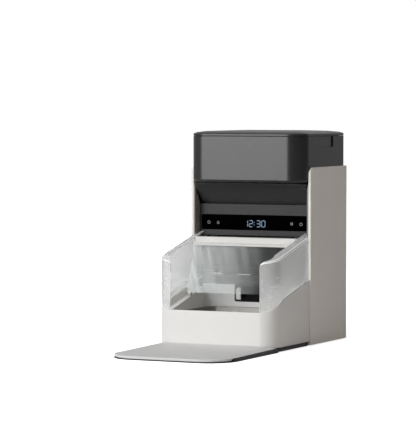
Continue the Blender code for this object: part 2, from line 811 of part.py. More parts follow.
def u_path(half, front, corner, back):
    """Stations of a U in plan, from the right rear round the front: point, aim outward, turn."""
    tangent = front + corner
    stations = [((half, blend(back, tangent, share)), (1.0, 0.0), 0.0) for share in BASE_SIDE_SHARES]
    for turn in corner_turns():
        angle = turn * math.pi / 2
        aim = (math.cos(angle), -math.sin(angle))
        stations.append(((half - corner + corner * aim[0], tangent + corner * aim[1]), aim, turn))
    other = [((-point[0], point[1]), (-aim[0], aim[1]), turn) for point, aim, turn in reversed(stations)]
    return stations + other


def rim_z(y, turn):
    """Height of the base's rim: parallel to the track at the sides, level at the front."""
    side_end = track_z(RIM_LEVEL, BASE_FRONT_Y + BASE_CORNER)
    if turn == 0.0:
        return track_z(RIM_LEVEL, y)
    return blend(side_end, FRONT_RIM_Z, math.sin(turn * math.pi / 2))


def shelf_z(y):
    """Height of the shelf that the cover's glides run on."""
    return max(track_z(SHELF_LEVEL, y), FRONT_RIM_Z - FRONT_STEP)


def rim_width(turn):
    """Width of the rim that the guards stand on."""
    return blend((BASE_HALF - WELL_HALF) * RIM_SHARE, FRONT_RIM * RIM_SHARE, turn)


def rim_drop(offset, turn):
    """How far the rim has sloped down at an offset inward from its outer edge."""
    return RIM_FALL * (1 - turn) * max(offset - EDGE, 0.0) / (rim_width(turn) - EDGE)


def base_section(outer, inner):
    """The closed cross-section of the base's wall, rim, shelf and well wall at one station."""
    outer_point, aim, turn = outer
    inner_point = inner[0]

    def from_outer(inward, z):
        return Vector((outer_point[0] - aim[0] * inward, outer_point[1] - aim[1] * inward, z))

    def from_well(outward, z):
        return Vector((inner_point[0] + aim[0] * outward, inner_point[1] + aim[1] * outward, z))

    rim = rim_z(outer_point[1], turn)
    width = rim_width(turn)
    step = from_outer(width, rim - rim_drop(width, turn))
    shelf_outer = min(shelf_z(step.y), step.z - CUSP)
    shelf_inner = min(shelf_z(inner_point[1]), shelf_outer)
    roof = shelf_inner - WALL
    low = WELL_FLOOR - WALL - WELL_WALL_DROP
    wall = min(WALL, FRONT_RIM / 3)
    return [
        from_outer(0.0, BASE_BOTTOM),
        from_outer(0.0, rim - EDGE),
        from_outer(EDGE, rim),
        step,
        from_outer(width, shelf_outer),
        from_well(EDGE, shelf_inner),
        from_well(0.0, shelf_inner - EDGE),
        from_well(0.0, low),
        from_well(wall, low),
        from_well(wall, roof),
        from_outer(wall, roof),
        from_outer(wall, BASE_BOTTOM),
    ]


def mouth_outline(inset):
    """The outlet's notch in the rear wall, with rounded lower corners."""
    low = (MOUTH_X - MOUTH_HALF + inset, MOUTH_FLOOR + inset)
    high = (MOUTH_X + MOUTH_HALF - inset, REAR_WALL_TOP + OVERRUN)
    return rounded(low, high, (MOUTH_CORNER, MOUTH_CORNER, CUSP, CUSP), SMALL_STEPS)


def base_housing():
    """White base: lofted rim and shelf, the bowl's well and the rear wall with the outlet."""
    back = EDGE_Y - RUN_GAP
    outer = u_path(BASE_HALF, BASE_FRONT_Y, BASE_CORNER, back)
    inner = u_path(WELL_HALF, BASE_FRONT_Y + FRONT_RIM, WELL_CORNER, back)
    rings = [base_section(a, b) for a, b in zip(outer, inner)]
    housing = skin("base_housing", rings, "white_shell")
    overlap = WALL / 2
    floor_plan = plan(WELL_HALF + overlap, BASE_FRONT_Y + FRONT_RIM - overlap, back, WELL_CORNER, CUSP)
    fuse(housing, prism("well_floor", "Z", floor_plan, WELL_FLOOR - WALL, WELL_FLOOR))
    face = EDGE_Y - REAR_WALL_FACE
    reach = WELL_HALF + overlap
    low = (-reach, face, WELL_FLOOR - WALL - WELL_WALL_DROP / 2)
    fuse(housing, box("well_rear_wall", low, (reach, face + REAR_WALL, REAR_WALL_TOP)))
    seat_top = BOWL_RIM_Z - BOWL_SHEET - FIT
    fuse(housing, prism("bowl_seat", "Z", bowl_plan(SEAT_INSET), WELL_FLOOR - WALL / 2, seat_top))
    seat_room = bowl_plan(SEAT_INSET + SEAT_WALL)
    cut(housing, prism("bowl_seat_room", "Z", seat_room, WELL_FLOOR, seat_top + OVERRUN))
    cut(housing, prism("mouth_notch", "Y", mouth_outline(0.0), face - OVERRUN, face + REAR_WALL + OVERRUN))


def guard_top(y, turn):
    """Height where the guard's wall starts to roll inward."""
    side_end = track_z(GUARD_LEVEL, BASE_FRONT_Y + BASE_CORNER)
    if turn == 0.0:
        return track_z(GUARD_LEVEL, y)
    return blend(side_end, GUARD_FRONT_Z, math.sin(turn * math.pi / 2))


def guard_section(station, squeeze=0.0, drop=0.0, lip=GUARD_LIP):
    """C-shaped cross-section: foot flange, wall and rolled top lip."""
    point, aim, turn = station

    def at(offset, z):
        inward = squeeze + offset * (1 - squeeze / GUARD_LIP)
        return Vector((point[0] - aim[0] * inward, point[1] - aim[1] * inward, z))

    foot = rim_z(point[1], turn) + FIT
    wall_top = guard_top(point[1], turn) - drop
    inner = GUARD_SET_IN + GUARD_WALL
    flange = blend(GUARD_FLANGE, GUARD_FRONT_FLANGE, turn)
    outer_roll = []
    inner_roll = []
    for across_share, rise_share in zip(GUARD_TOP_SHARES, GUARD_TOP_RISE_SHARES):
        rise = GUARD_BULGE * rise_share * (lip / GUARD_LIP)
        outer_roll.append((blend(GUARD_SET_IN, lip, across_share), wall_top + rise))
        inner_roll.append((blend(inner, lip, across_share), wall_top + rise - GUARD_LIP_WALL))
    places = [(GUARD_SET_IN, foot), *outer_roll, *reversed(inner_roll)]
    places += [
        (inner, foot + GUARD_FLANGE_WALL - rim_drop(inner, turn)),
        (flange, foot + GUARD_FLANGE_WALL - rim_drop(flange, turn)),
        (flange, foot - rim_drop(flange, turn)),
        (EDGE, foot),
    ]
    return [at(offset, z) for offset, z in places]


def guard_rings(side):
    """Sections of one guard from its tongue in the column to its end at the front."""
    tongue_back = EDGE_Y + GUARD_TONGUE
    tongue_front = EDGE_Y - RUN_GAP + CUSP
    rings = []
    for y in (tongue_back, tongue_front):
        station = ((side * BASE_HALF, y), (side, 0.0), 0.0)
        rings.append(guard_section(station, GUARD_TONGUE_INSET))
    path = u_path(BASE_HALF, BASE_FRONT_Y, BASE_CORNER, EDGE_Y - RUN_GAP)
    half_path = path[: len(path) // 2 - 1]
    plain = len(half_path) - len(GUARD_END_SHARES)
    for count, (point, aim, turn) in enumerate(half_path):
        share = GUARD_END_SHARES[count - plain] if count >= plain else 1.0
        drop = GUARD_END_ROUND * (1 - math.sqrt(1 - (1 - share) ** 2))
        end_lip = GUARD_SET_IN + GUARD_WALL + EDGE
        lip = blend(end_lip, blend(GUARD_LIP, GUARD_FLANGE / 2, turn), share)
        station = ((side * point[0], point[1]), (side * aim[0], aim[1]), turn)
        rings.append(guard_section(station, 0.0, drop, lip))
    return rings


def guards():
    """Clear guards that stand on the base's rim."""
    for side, name in ((-1, "guard_left"), (1, "guard_right")):
        skin(name, guard_rings(side), "clear_sheet")


def bowl_plan(inset):
    """Plan outline of the bowl's rim, drawn in by an inset."""
    return plan(BOWL_HALF, EDGE_Y - BOWL_FRONT, EDGE_Y - BOWL_BACK, BOWL_CORNER, BOWL_CORNER, inset)


def bowl():
    """Stainless bowl: flange, drafted wall and rounded floor in one thin sheet."""
    floor = BOWL_RIM_Z - BOWL_DEPTH
    foot = BOWL_FLANGE + BOWL_TAPER
    layers = [
        (bowl_plan(foot + BOWL_FLOOR_ROUND), floor),
        (bowl_plan(foot), floor + BOWL_FLOOR_ROUND),
        (bowl_plan(BOWL_FLANGE), BOWL_RIM_Z - BOWL_SHEET),
        (bowl_plan(0.0), BOWL_RIM_Z - BOWL_SHEET),
        (bowl_plan(0.0), BOWL_RIM_Z),
        (bowl_plan(BOWL_FLANGE + BOWL_SHEET), BOWL_RIM_Z),
        (bowl_plan(foot + BOWL_SHEET), floor + BOWL_FLOOR_ROUND),
        (bowl_plan(foot + BOWL_FLOOR_ROUND), floor + BOWL_SHEET),
    ]
    dish = stack("bowl", layers, "steel")
    carry("bowl_lift", (0, EDGE_Y - (BOWL_FRONT + BOWL_BACK) / 2, BOWL_RIM_Z), [dish])


def cheeks():
    """Dark inner side walls of the column, with screw bosses at the back."""
    front = EDGE_Y + CHEEK_FRONT
    bottom = PLATE_TOP + FIT
    top = DECK_TOP - DECK_SHEET - FIT
    for side, name in ((-1, "cheek_left"), (1, "cheek_right")):
        low = (min(side * CHEEK_INNER_X, side * CHEEK_OUTER_X), front, bottom)
        high = (max(side * CHEEK_INNER_X, side * CHEEK_OUTER_X), CHEEK_BACK_Y, top)
        wall = box(name, low, high, "dark_shell")
        screw_boss(wall, f"{name}_screw_boss", side)
        bearing_boss(wall, f"{name}_bearing", side)


def screw_x(side):
    return side * (CHEEK_INNER_X - SCREW_INSET)


def bearing_boss(wall, name, side):
    """A bored boss on the cheek for the end of the cover's drive shaft."""
    place = (0, DRIVE_Y, DRIVE_Z)
    root = side * (CHEEK_INNER_X + CHEEK_WALL / 2)
    face = side * (CHEEK_INNER_X - BEARING_WIDTH)
    fuse(wall, rod(name, "X", BEARING_RADIUS, min(root, face), max(root, face), place))
    stop = side * CHEEK_INNER_X
    start = face - side * OVERRUN
    radius = DRIVE_SHAFT_RADIUS + SHAFT_GAP
    cut(wall, rod(f"{name}_bore", "X", radius, min(start, stop), max(start, stop), place))


def screw_boss(wall, name, side):
    """A drilled block on the cheek that takes a screw of the rear cover."""
    z = SCREW_Z
    outer = side * (CHEEK_INNER_X + CHEEK_WALL / 2)
    inner = screw_x(side) - side * BOSS_SIDE / 2
    low = (min(outer, inner), CHEEK_BACK_Y - BOSS_DEPTH, z - BOSS_SIDE / 2)
    high = (max(outer, inner), CHEEK_BACK_Y - CUSP, z + BOSS_SIDE / 2)
    fuse(wall, box(name, low, high))
    depth = SCREW_LENGTH + FIT
    place = (screw_x(side), 0, z)
    ends = (REAR_INNER_Y - depth, REAR_INNER_Y + OVERRUN)
    cut(wall, rod(f"{name}_drill", "Y", SCREW_SHANK + FIT, *ends, place))


def column_front():
    """Front wall of the column, folded back into a bay above the outlet, with two posts."""
    face = EDGE_Y + COLUMN_SETBACK
    deep = face + BAY_DEPTH
    sheet = COLUMN_SHEET
    outline = [
        (face, COLUMN_TOP),
        (face, BAY_TOP),
        (deep, BAY_TOP),
        (deep, BAY_FLOOR),
        (deep + sheet, BAY_FLOOR),
        (deep + sheet, BAY_TOP + sheet),
        (face + sheet, BAY_TOP + sheet),
        (face + sheet, COLUMN_TOP),
    ]
    wall = prism("column_front", "X", outline, -SHELL_HALF, SHELL_HALF, "dark_shell")
    soften(wall, EDGE / 2)
    for side, name in ((-1, "column_post_left"), (1, "column_post_right")):
        near = min(side * POST_INNER_X, side * POST_OUTER_X)
        far = max(side * POST_INNER_X, side * POST_OUTER_X)
        low = (near, EDGE_Y + POST_FRONT, PLATE_TOP + FIT)
        high = (far, deep - FIT, POST_TOP)
        soften(box(name, low, high, "dark_shell"), EDGE)


def face_panel():
    """Front panel with a ledge on top and a shallow pocket for the display."""
    face = EDGE_Y + FACE_SETBACK
    inner = face + FACE_SHEET
    outline = [
        (face, FACE_BOTTOM),
        (face, FACE_TOP - EDGE),
        (face + EDGE, FACE_TOP),
        (face + FACE_LEDGE, FACE_TOP),
        (face + FACE_LEDGE, FACE_TOP - DECK_SHEET),
        (inner, FACE_TOP - DECK_SHEET),
        (inner, FACE_BOTTOM),
    ]
    panel = prism("face_panel", "X", outline, -SHELL_HALF, SHELL_HALF, "dark_shell")
    low = (-DISPLAY_HALF - FIT, DISPLAY_BOTTOM - FIT)
    high = (DISPLAY_HALF + FIT, DISPLAY_TOP + FIT)
    pocket = even(low, high, DISPLAY_CORNER, SMALL_STEPS)
    depth = DISPLAY_SHEET - DISPLAY_PROUD + FIT
    cut(panel, prism("display_pocket", "Y", pocket, face - OVERRUN, face + depth))
    low = (-DISPLAY_HALF, DISPLAY_BOTTOM)
    high = (DISPLAY_HALF, DISPLAY_TOP)
    glass = even(low, high, DISPLAY_CORNER, SMALL_STEPS)
    front = face - DISPLAY_PROUD
    prism("display_window", "Y", glass, front, front + DISPLAY_SHEET, "black_gloss")
    margin = DISPLAY_BOARD_MARGIN
    low = (-DISPLAY_BOARD_HALF, inner + FIT, DISPLAY_BOTTOM + margin)
    high = (DISPLAY_BOARD_HALF, inner + FIT + BOARD_SHEET, DISPLAY_TOP - margin)
    box("control_board", low, high, "board")


def cove_curve(offset):
    """The hollow curve under the hopper, from its front down to the face panel's ledge."""
    start = (EDGE_Y - COVE_FRONT, DECK_TOP - DECK_SHEET / 2)
    stop = (EDGE_Y + COVE_BACK, FACE_TOP + FIT)
    width = stop[0] - start[0]
    height = start[1] - stop[1]
    pull = (start[0] + width * COVE_PULL_Y_SHARE, start[1] - height * COVE_PULL_Z_SHARE)
    points = []
    for count in range(COVE_STEPS + 1):
        t = count / COVE_STEPS
        weights = ((1 - t) ** 2, 2 * t * (1 - t), t * t)
        y = weights[0] * start[0] + weights[1] * pull[0] + weights[2] * stop[0]
        z = weights[0] * start[1] + weights[1] * pull[1] + weights[2] * stop[1]
        points.append((y + offset, z))
    return points


def hopper_deck():
    """Deck that the hopper stands on, with the cove drawn down from its front edge."""
    under = DECK_TOP - DECK_SHEET
    curve = cove_curve(0.0)
    inside = [(y, z) for y, z in reversed(cove_curve(DECK_SHEET)) if z < under - DECK_SHEET]
    outline = [(curve[0][0], DECK_TOP), *curve, *inside]
    outline += [(inside[-1][0] + DECK_SHEET, under), (CHEEK_BACK_Y, under), (CHEEK_BACK_Y, DECK_TOP)]
    deck = prism("hopper_deck", "X", outline, -CHEEK_OUTER_X, CHEEK_OUTER_X, "dark_shell")
    trim(deck, stepped_deck_room())
    hole = even(
        (-SPOUT_HALF_X - RUN_GAP, ROTOR_Y - SPOUT_HALF_Y - RUN_GAP),
        (SPOUT_HALF_X + RUN_GAP, ROTOR_Y + SPOUT_HALF_Y + RUN_GAP),
        SPOUT_WALL,
        FEW_STEPS,
    )
    cut(deck, prism("spout_hole", "Z", hole, under - OVERRUN, DECK_TOP + OVERRUN))


def stepped_deck_room():
    """Room for the deck: as wide as the cheeks on their tops, within them lower down, rounded in front."""
    inset = HOPPER_ROUND - COVE_TRIM
    front = plan(SHELL_HALF, EDGE_Y - HOPPER_REACH, CHEEK_BACK_Y + OVERRUN, HOPPER_CORNER, CUSP, inset)
    half = SHELL_HALF - inset
    shape = [(x * SHELL_HALF / half, y) for x, y in front]
    room = prism("deck_room", "Z", shape, FACE_TOP - OVERRUN, DECK_TOP + OVERRUN)
    low = (-CHEEK_OUTER_X - OVERRUN, EDGE_Y + CHEEK_FRONT, DECK_TOP - DECK_SHEET)
    high = (CHEEK_OUTER_X + OVERRUN, CHEEK_BACK_Y + OVERRUN, DECK_TOP + OVERRUN)
    fuse(room, box("deck_room_top", low, high))
    return room


def outlet_hood():
    """Stepped hood over the outlet, with a pale latch strip on its top ledge."""
    front = EDGE_Y + HOOD_FRONT
    step = EDGE_Y + HOOD_STEP_Y
    back = EDGE_Y + COLUMN_SETBACK + BAY_DEPTH - FIT
    sheet = HOOD_SHEET
    outline = [
        (front, HOOD_FOOT),
        (front, HOOD_STEP_Z),
        (step, HOOD_STEP_Z),
        (step, HOOD_GROOVE_Z),
        (step - HOOD_GROOVE, HOOD_GROOVE_Z),
        (step - HOOD_GROOVE, HOOD_TOP),
        (back, HOOD_TOP),
        (back, HOOD_TOP - sheet),
        (step + sheet, HOOD_TOP - sheet),
        (step + sheet, HOOD_STEP_Z - sheet),
        (front + sheet, HOOD_STEP_Z - sheet),
        (front + sheet, HOOD_FOOT),
    ]
    hood = prism("outlet_hood", "X", outline, -HOOD_HALF, HOOD_HALF, "dark_shell")
    soften(hood, HOOD_EDGE)
    ledge = step - HOOD_GROOVE + LATCH_SETBACK
    foot = HOOD_TOP + FIT
    strip = rounded(
        (-LATCH_START_X, ledge),
        (-LATCH_START_X + LATCH_LENGTH, ledge + LATCH_DEPTH),
        (CUSP, LATCH_ROUND, LATCH_ROUND, CUSP),
        SMALL_STEPS,
    )
    prism("hood_latch", "Z", strip, foot, foot + LATCH_HEIGHT, "white_nylon")


def cover_bar():
    """White cross bar of the sliding cover: a folded section with slots in its lower lip."""
    front = EDGE_Y - BAR_FRONT
    nose = front - BAR_LIP_REACH
    wall = front + BAR_SHEET
    back = EDGE_Y - BAR_BACK
    outline = [
        (front, BAR_TOP - EDGE),
        (front, BAR_LIP_TOP),
        (nose, BAR_LIP_NOSE),
        (nose, BAR_BOTTOM),
        (wall, BAR_BOTTOM),
        (wall, BAR_TOP - BAR_TOP_SHEET),
        (back, BAR_TOP - BAR_TOP_SHEET),
        (back, BAR_TOP),
        (front + EDGE, BAR_TOP),
    ]
    bar = prism("cover_bar", "X", outline, -COVER_HALF, COVER_HALF, "white_shell")
    for count, (share, half) in enumerate(zip(SLOT_PLACE_SHARES, SLOT_HALVES_X)):
        x = share * COVER_HALF
        near = nose + SLOT_FROM_NOSE
        low = (x - half, near, BAR_BOTTOM + SLOT_FLOOR)
        high = (x + half, near + SLOT_WIDTH, BAR_LIP_TOP + OVERRUN)
        cut(bar, box(f"bar_slot_{count + 1}", low, high))
    return bar


def cover_flap():
    """Clear leaning flap under the bar, with triangular side wings that carry the glides."""
    top = (EDGE_Y - FLAP_TOP_Y, BAR_BOTTOM - FIT)
    bottom = (EDGE_Y - FLAP_BOTTOM_Y, FLAP_BOTTOM_Z)
    lean = (bottom[0] - top[0]) / (top[1] - bottom[1])
    thick = FLAP_WALL * math.hypot(1, lean)
    sheet = [top, bottom, (bottom[0] + thick, bottom[1]), (top[0] + thick, top[1])]
    flap = prism("cover_flap", "X", sheet, -COVER_HALF, COVER_HALF, "clear_sheet")
    glide = glide_centre()
    back = EDGE_Y - WING_BACK_Y
    wing = [
        (top[0] + CUSP, top[1] - CUSP),
        (bottom[0] + CUSP, bottom[1] + CUSP),
        (glide[0] + GLIDE_RADIUS, bottom[1] + CUSP),
        (back, track_z(SHELF_LEVEL, back) + GLIDE_RADIUS * 2),
        (back, top[1] - CUSP),
    ]
    for side, name in ((-1, "left"), (1, "right")):
        outer = side * (COVER_HALF - CUSP)
        inner = side * (COVER_HALF - WING_WALL)
        fuse(flap, prism(f"flap_wing_{name}", "X", wing, min(outer, inner), max(outer, inner)))
        place = (outer, glide[0], glide[1])
        cut(flap, rod(f"glide_hole_{name}", "X", GLIDE_BOSS / 2 + FIT, -OVERRUN, OVERRUN, place))
    return flap


def glide_centre():
    """Centre of the glides, resting on the base's shelf."""
    y = EDGE_Y - GLIDE_Y
    return y, track_z(SHELF_LEVEL, y) + (GLIDE_RADIUS + FIT) / TRACK_RUN


def cover_glides():
    """Round glides under the wings, each with a stub through its wing."""
    glides = []
    y, z = glide_centre()
    for side, name in ((-1, "cover_glide_left"), (1, "cover_glide_right")):
        start = 0.0
        stop = -side * GLIDE_WIDTH
        stub = side * (WING_WALL - CUSP)
        profile = [(0.0, stub), (GLIDE_BOSS / 2, stub), (GLIDE_BOSS / 2, start), (GLIDE_RADIUS, start)]
        profile += [(GLIDE_RADIUS, stop), (0.0, stop)]
        place = (side * (COVER_HALF - WING_WALL - FIT), y, z)
        glides.append(turned(name, "X", profile, place, "white_nylon", SMALL_TURN_STEPS))
    return glides


def roof_line(y):
    """Height of the roof's underside."""
    return track_z(ROOF_LEVEL, y)


def cover_roof():
    """Clear roof sheet that slides back into the column."""
    front = EDGE_Y - BAR_FRONT + BAR_SHEET + FIT
    back = EDGE_Y + ROOF_BACK
    rise = ROOF_WALL / TRACK_RUN
    sheet = roof_band(front, back, 0.0, rise)
    return prism("cover_roof", "X", sheet, -ROOF_HALF, ROOF_HALF, "clear_sheet")


def rack_outline():
    """Rack in its own frame: u along the track, v up, with a gap centred on the drive pinion."""
    start = (EDGE_Y - RACK_FRONT - DRIVE_POINT_Y) / TRACK_RUN
    stop = (EDGE_Y + ROOF_BACK - DRIVE_POINT_Y) / TRACK_RUN
    top = DEDENDUM + RACK_BODY
    points = [(stop, top), (start, top), (start, DEDENDUM)]
    count = math.ceil(start / TOOTH_PITCH)
    while (count + 1) * TOOTH_PITCH < stop:
        middle = (count + 1 / 2) * TOOTH_PITCH
        root = TOOTH_ROOT_SHARE * TOOTH_PITCH / 2
        tip = TOOTH_TIP_SHARE * TOOTH_PITCH / 2
        points += [(middle - root, DEDENDUM), (middle - tip, -ADDENDUM)]
        points += [(middle + tip, -ADDENDUM), (middle + root, DEDENDUM)]
        count += 1
    points.append((stop, DEDENDUM))
    return points


def cover_racks():
    """Toothed racks under the roof's edges."""
    racks = []
    outline = []
    for u, v in rack_outline():
        y = DRIVE_POINT_Y + u * TRACK_RUN - v * TRACK_RISE
        z = DRIVE_POINT_Z + u * TRACK_RISE + v * TRACK_RUN
        outline.append((y, z))
    for side, name in ((-1, "cover_rack_left"), (1, "cover_rack_right")):
        ends = (side * RACK_INNER_X, side * (RACK_INNER_X + RACK_WIDTH))
        racks.append(prism(name, "X", outline, min(ends), max(ends), "white_nylon"))
    return racks


def roof_band(front, back, below, above):
    """A band along the roof between two heights from its underside."""
    band = [(front, roof_line(front) + below), (back, roof_line(back) + below)]
    return band + [(back, roof_line(back) + above), (front, roof_line(front) + above)]


def cover_rails():
    """Grooved rails on the cheeks that the roof's edges run in."""
    front = EDGE_Y + RAIL_START
    back = EDGE_Y + ROOF_BACK + RAIL_FLOOR
    rise = ROOF_WALL / TRACK_RUN
    gap = RUN_GAP / TRACK_RUN
    wall = RAIL_FLOOR / TRACK_RUN
    outline = roof_band(front, back, -gap - wall, rise + gap + wall)
    groove = roof_band(front - OVERRUN, back + OVERRUN, -gap, rise + gap)
    for side, name in ((-1, "cover_rail_left"), (1, "cover_rail_right")):
        ends = (side * RAIL_REACH_X, side * SHELL_HALF)
        rail = prism(name, "X", outline, min(ends), max(ends), "dark_shell")
        slot = (side * (RAIL_REACH_X - OVERRUN), side * (ROOF_HALF + RAIL_GROOVE_SIDE))
        cut(rail, prism(f"{name}_groove", "X", groove, min(slot), max(slot)))


def sliding_cover():
    """Everything that slides together."""
    pieces = [cover_bar(), cover_flap(), cover_roof(), *cover_glides(), *cover_racks()]
    carry("cover_slide", (0, EDGE_Y - BAR_FRONT, ROOF_LEVEL), pieces)
    cover_rails()


def meshing_centre(centre, angle, teeth, partner_teeth):
    """Centre of a gear that meshes with a partner, at an angle from it."""
    distance = pitch_radius(teeth) + pitch_radius(partner_teeth) + MESH_GAP
    return (centre[0] + distance * math.cos(angle), centre[1] + distance * math.sin(angle))


def cover_drive():
    """Cross shaft with two pinions and a gear, and the motor that turns it."""
    place = (0, DRIVE_Y, DRIVE_Z)
    up_track = math.pi / 2 + TRACK_ANGLE
    radius = DRIVE_SHAFT_RADIUS
    end = CHEEK_INNER_X - DRIVE_SHAFT_END
    moving = [rod("drive_shaft", "X", radius, -end, end, place, "steel")]
    bore = radius + SHAFT_GAP
    for side, name in ((-1, "drive_pinion_left"), (1, "drive_pinion_right")):
        ends = (side * (RACK_INNER_X - PINION_EXTRA), side * (RACK_INNER_X + RACK_WIDTH - CUSP))
        moving.append(gear(name, PINION_TEETH, up_track, min(ends), max(ends), place, bore, "white_nylon"))
    start = DRIVE_GEAR_X - GEAR_WIDTH / 2
    stop = DRIVE_GEAR_X + GEAR_WIDTH / 2
    moving.append(gear("drive_gear", DRIVE_TEETH, MOTOR_ANGLE, start, stop, place, bore, "white_nylon"))
    carry("drive_axis", place, moving)
    motor_y, motor_z = meshing_centre((DRIVE_Y, DRIVE_Z), MOTOR_ANGLE, DRIVE_TEETH, MOTOR_TEETH)
    motor_place = (0, motor_y, motor_z)
    phase = MOTOR_ANGLE + math.pi + math.pi / MOTOR_TEETH
    motor_set("drive_motor", motor_place, phase, DRIVE_GEAR_X, DRIVE_MOTOR_RADIUS)


def motor_set(name, place, phase, gear_x, radius):
    """A motor against the right cheek and its pinion, whose shaft turns in the motor's boss."""
    start = gear_x - GEAR_WIDTH / 2 - PINION_EXTRA / 2
    stop = gear_x + GEAR_WIDTH / 2 + PINION_EXTRA / 2
    can = stop + MOTOR_GAP
    face = can - MOTOR_BOSS
    shaft_end = can + MOTOR_BOSS
    bore = MOTOR_SHAFT_RADIUS + SHAFT_GAP
    profile = [
        (bore, face),
        (MOTOR_BOSS_RADIUS, face),
        (MOTOR_BOSS_RADIUS, can),
        (radius - EDGE, can),
        (radius, can + EDGE),
        (radius, SHELL_HALF - EDGE),
        (radius - EDGE, SHELL_HALF),
        (0.0, SHELL_HALF),
        (0.0, shaft_end + FIT),
        (bore, shaft_end + FIT),
    ]
    turned(name, "X", profile, place, "steel")
    pinion = prism(f"{name}_pinion", "X", gear_outline(MOTOR_TEETH, phase), start, stop, "brass")
    pinion.location = place
    fuse(pinion, rod(f"{name}_shaft", "X", MOTOR_SHAFT_RADIUS, gear_x, shaft_end, place))
    carry(f"{name}_axis", place, [pinion])


def dispenser_housing():
    """Drum that holds the rotor, with an inlet collar above and an outlet collar below."""
    place = (0, ROTOR_Y, ROTOR_Z)
    half = DRUM_HALF + DRUM_END
    outer = DRUM_BORE + DRUM_WALL
    housing = rod("dispenser_housing", "X", outer, -half, half, place, "dark_shell")
    top = DECK_TOP - DECK_SHEET - RUN_GAP
    wall = COLLAR_WALL
    shell_low = (-half + CUSP, ROTOR_Y - INLET_HALF_Y - wall, ROTOR_Z)
    shell_high = (half - CUSP, ROTOR_Y + INLET_HALF_Y + wall, top)
    fuse(housing, box("inlet_collar", shell_low, shell_high))
    foot_low = (-half + CUSP, ROTOR_Y - OUTLET_HALF_Y - wall, OUTLET_BOTTOM)
    foot_high = (half - CUSP, ROTOR_Y + OUTLET_HALF_Y + wall, ROTOR_Z)
    fuse(housing, box("outlet_collar", foot_low, foot_high))
    cut(housing, rod("drum_bore", "X", DRUM_BORE, -DRUM_HALF, DRUM_HALF, place))
    in_low = (-INLET_HALF_X, ROTOR_Y - INLET_HALF_Y, ROTOR_Z)
    in_high = (INLET_HALF_X, ROTOR_Y + INLET_HALF_Y, top + OVERRUN)
    cut(housing, box("inlet_room", in_low, in_high))
    out_low = (-OUTLET_HALF_X, ROTOR_Y - OUTLET_HALF_Y, OUTLET_BOTTOM - OVERRUN)
    out_high = (OUTLET_HALF_X, ROTOR_Y + OUTLET_HALF_Y, ROTOR_Z)
    cut(housing, box("outlet_room", out_low, out_high))
    cut(housing, rod("shaft_holes", "X", ROTOR_SHAFT + SHAFT_GAP, -half - OVERRUN, half + OVERRUN, place))


def rotor():
    """Bladed rotor on its shaft, turned by a gear and a motor."""
    place = (0, ROTOR_Y, ROTOR_Z)
    turn = math.tau / ROTOR_BLADES
    lean = BLADE_WALL / 2
    outline = []
    for count in range(ROTOR_BLADES):
        middle = turn * (count + 1 / 2)
        hub_angle = math.asin(lean / ROTOR_HUB)
        tip_angle = math.asin(lean / ROTOR_TIP)
        near_side = ((ROTOR_HUB, -hub_angle), (ROTOR_TIP, -tip_angle))
        far_side = ((ROTOR_TIP, tip_angle), (ROTOR_HUB, hub_angle))
        for reach, angle in near_side + far_side:
            outline.append((reach * math.cos(middle + angle), reach * math.sin(middle + angle)))
    wheel = prism("rotor", "X", outline, -ROTOR_HALF, ROTOR_HALF, "white_nylon")
    wheel.location = place
    bore = ROTOR_SHAFT + SHAFT_GAP
    cut(wheel, rod("rotor_bore", "X", bore, -ROTOR_HALF - OVERRUN, ROTOR_HALF + OVERRUN, place))
    shaft = rod("rotor_shaft", "X", ROTOR_SHAFT, -ROTOR_SHAFT_LEFT, ROTOR_SHAFT_RIGHT, place, "steel")
    start = ROTOR_GEAR_X - GEAR_WIDTH / 2
    stop = ROTOR_GEAR_X + GEAR_WIDTH / 2
    wheel_gear = gear("rotor_gear", ROTOR_TEETH, math.pi, start, stop, place, bore, "white_nylon")
    carry("rotor_axis", place, [wheel, shaft, wheel_gear])
    centre = meshing_centre((ROTOR_Y, ROTOR_Z), math.pi, ROTOR_TEETH, MOTOR_TEETH)
    phase = math.pi / MOTOR_TEETH
    motor_set("feed_motor", (0, centre[0], centre[1]), phase, ROTOR_GEAR_X, FEED_MOTOR_RADIUS)


def chute():
    """Duct from the drum down and forward to the outlet in the well's rear wall."""
    start = EDGE_Y + CHUTE_START
    apron = EDGE_Y + CHUTE_APRON
    near = ROTOR_Y - OUTLET_HALF_Y
    far = ROTOR_Y + OUTLET_HALF_Y
    top = OUTLET_BOTTOM - FIT
    floor = MOUTH_FLOOR + FIT
    stations = [
        ((start, MOUTH_ROOF), (start, floor), MOUTH_X),
        ((apron, CHUTE_APRON_ROOF), (apron, CHUTE_APRON_FLOOR), MOUTH_X),
        ((near, CHUTE_BEND_ROOF), (far, CHUTE_BEND_FLOOR), 0.0),
        ((near, top), (far, top), 0.0),
    ]
    outer = []
    inner = []
    half = MOUTH_HALF - CHUTE_SIDE
    for (roof_y, roof_z), (floor_y, floor_z), middle in stations:
        reach = Vector((0, floor_y - roof_y, floor_z - roof_z)).normalized() * CHUTE_WALL
        inner.append(duct_ring(middle, half, (roof_y, roof_z), (floor_y, floor_z)))
        roof_out = (roof_y - reach.y, roof_z - reach.z)
        floor_out = (floor_y + reach.y, floor_z + reach.z)
        outer.append(duct_ring(middle, half + CHUTE_WALL, roof_out, floor_out))
    skin("chute", outer + list(reversed(inner)), "black_gloss", closed=True)


def duct_ring(middle, half, roof, floor):
    """Four corners of the duct at one station."""
    return [
        Vector((middle - half, roof[0], roof[1])),
        Vector((middle + half, roof[0], roof[1])),
        Vector((middle + half, floor[0], floor[1])),
        Vector((middle - half, floor[0], floor[1])),
    ]


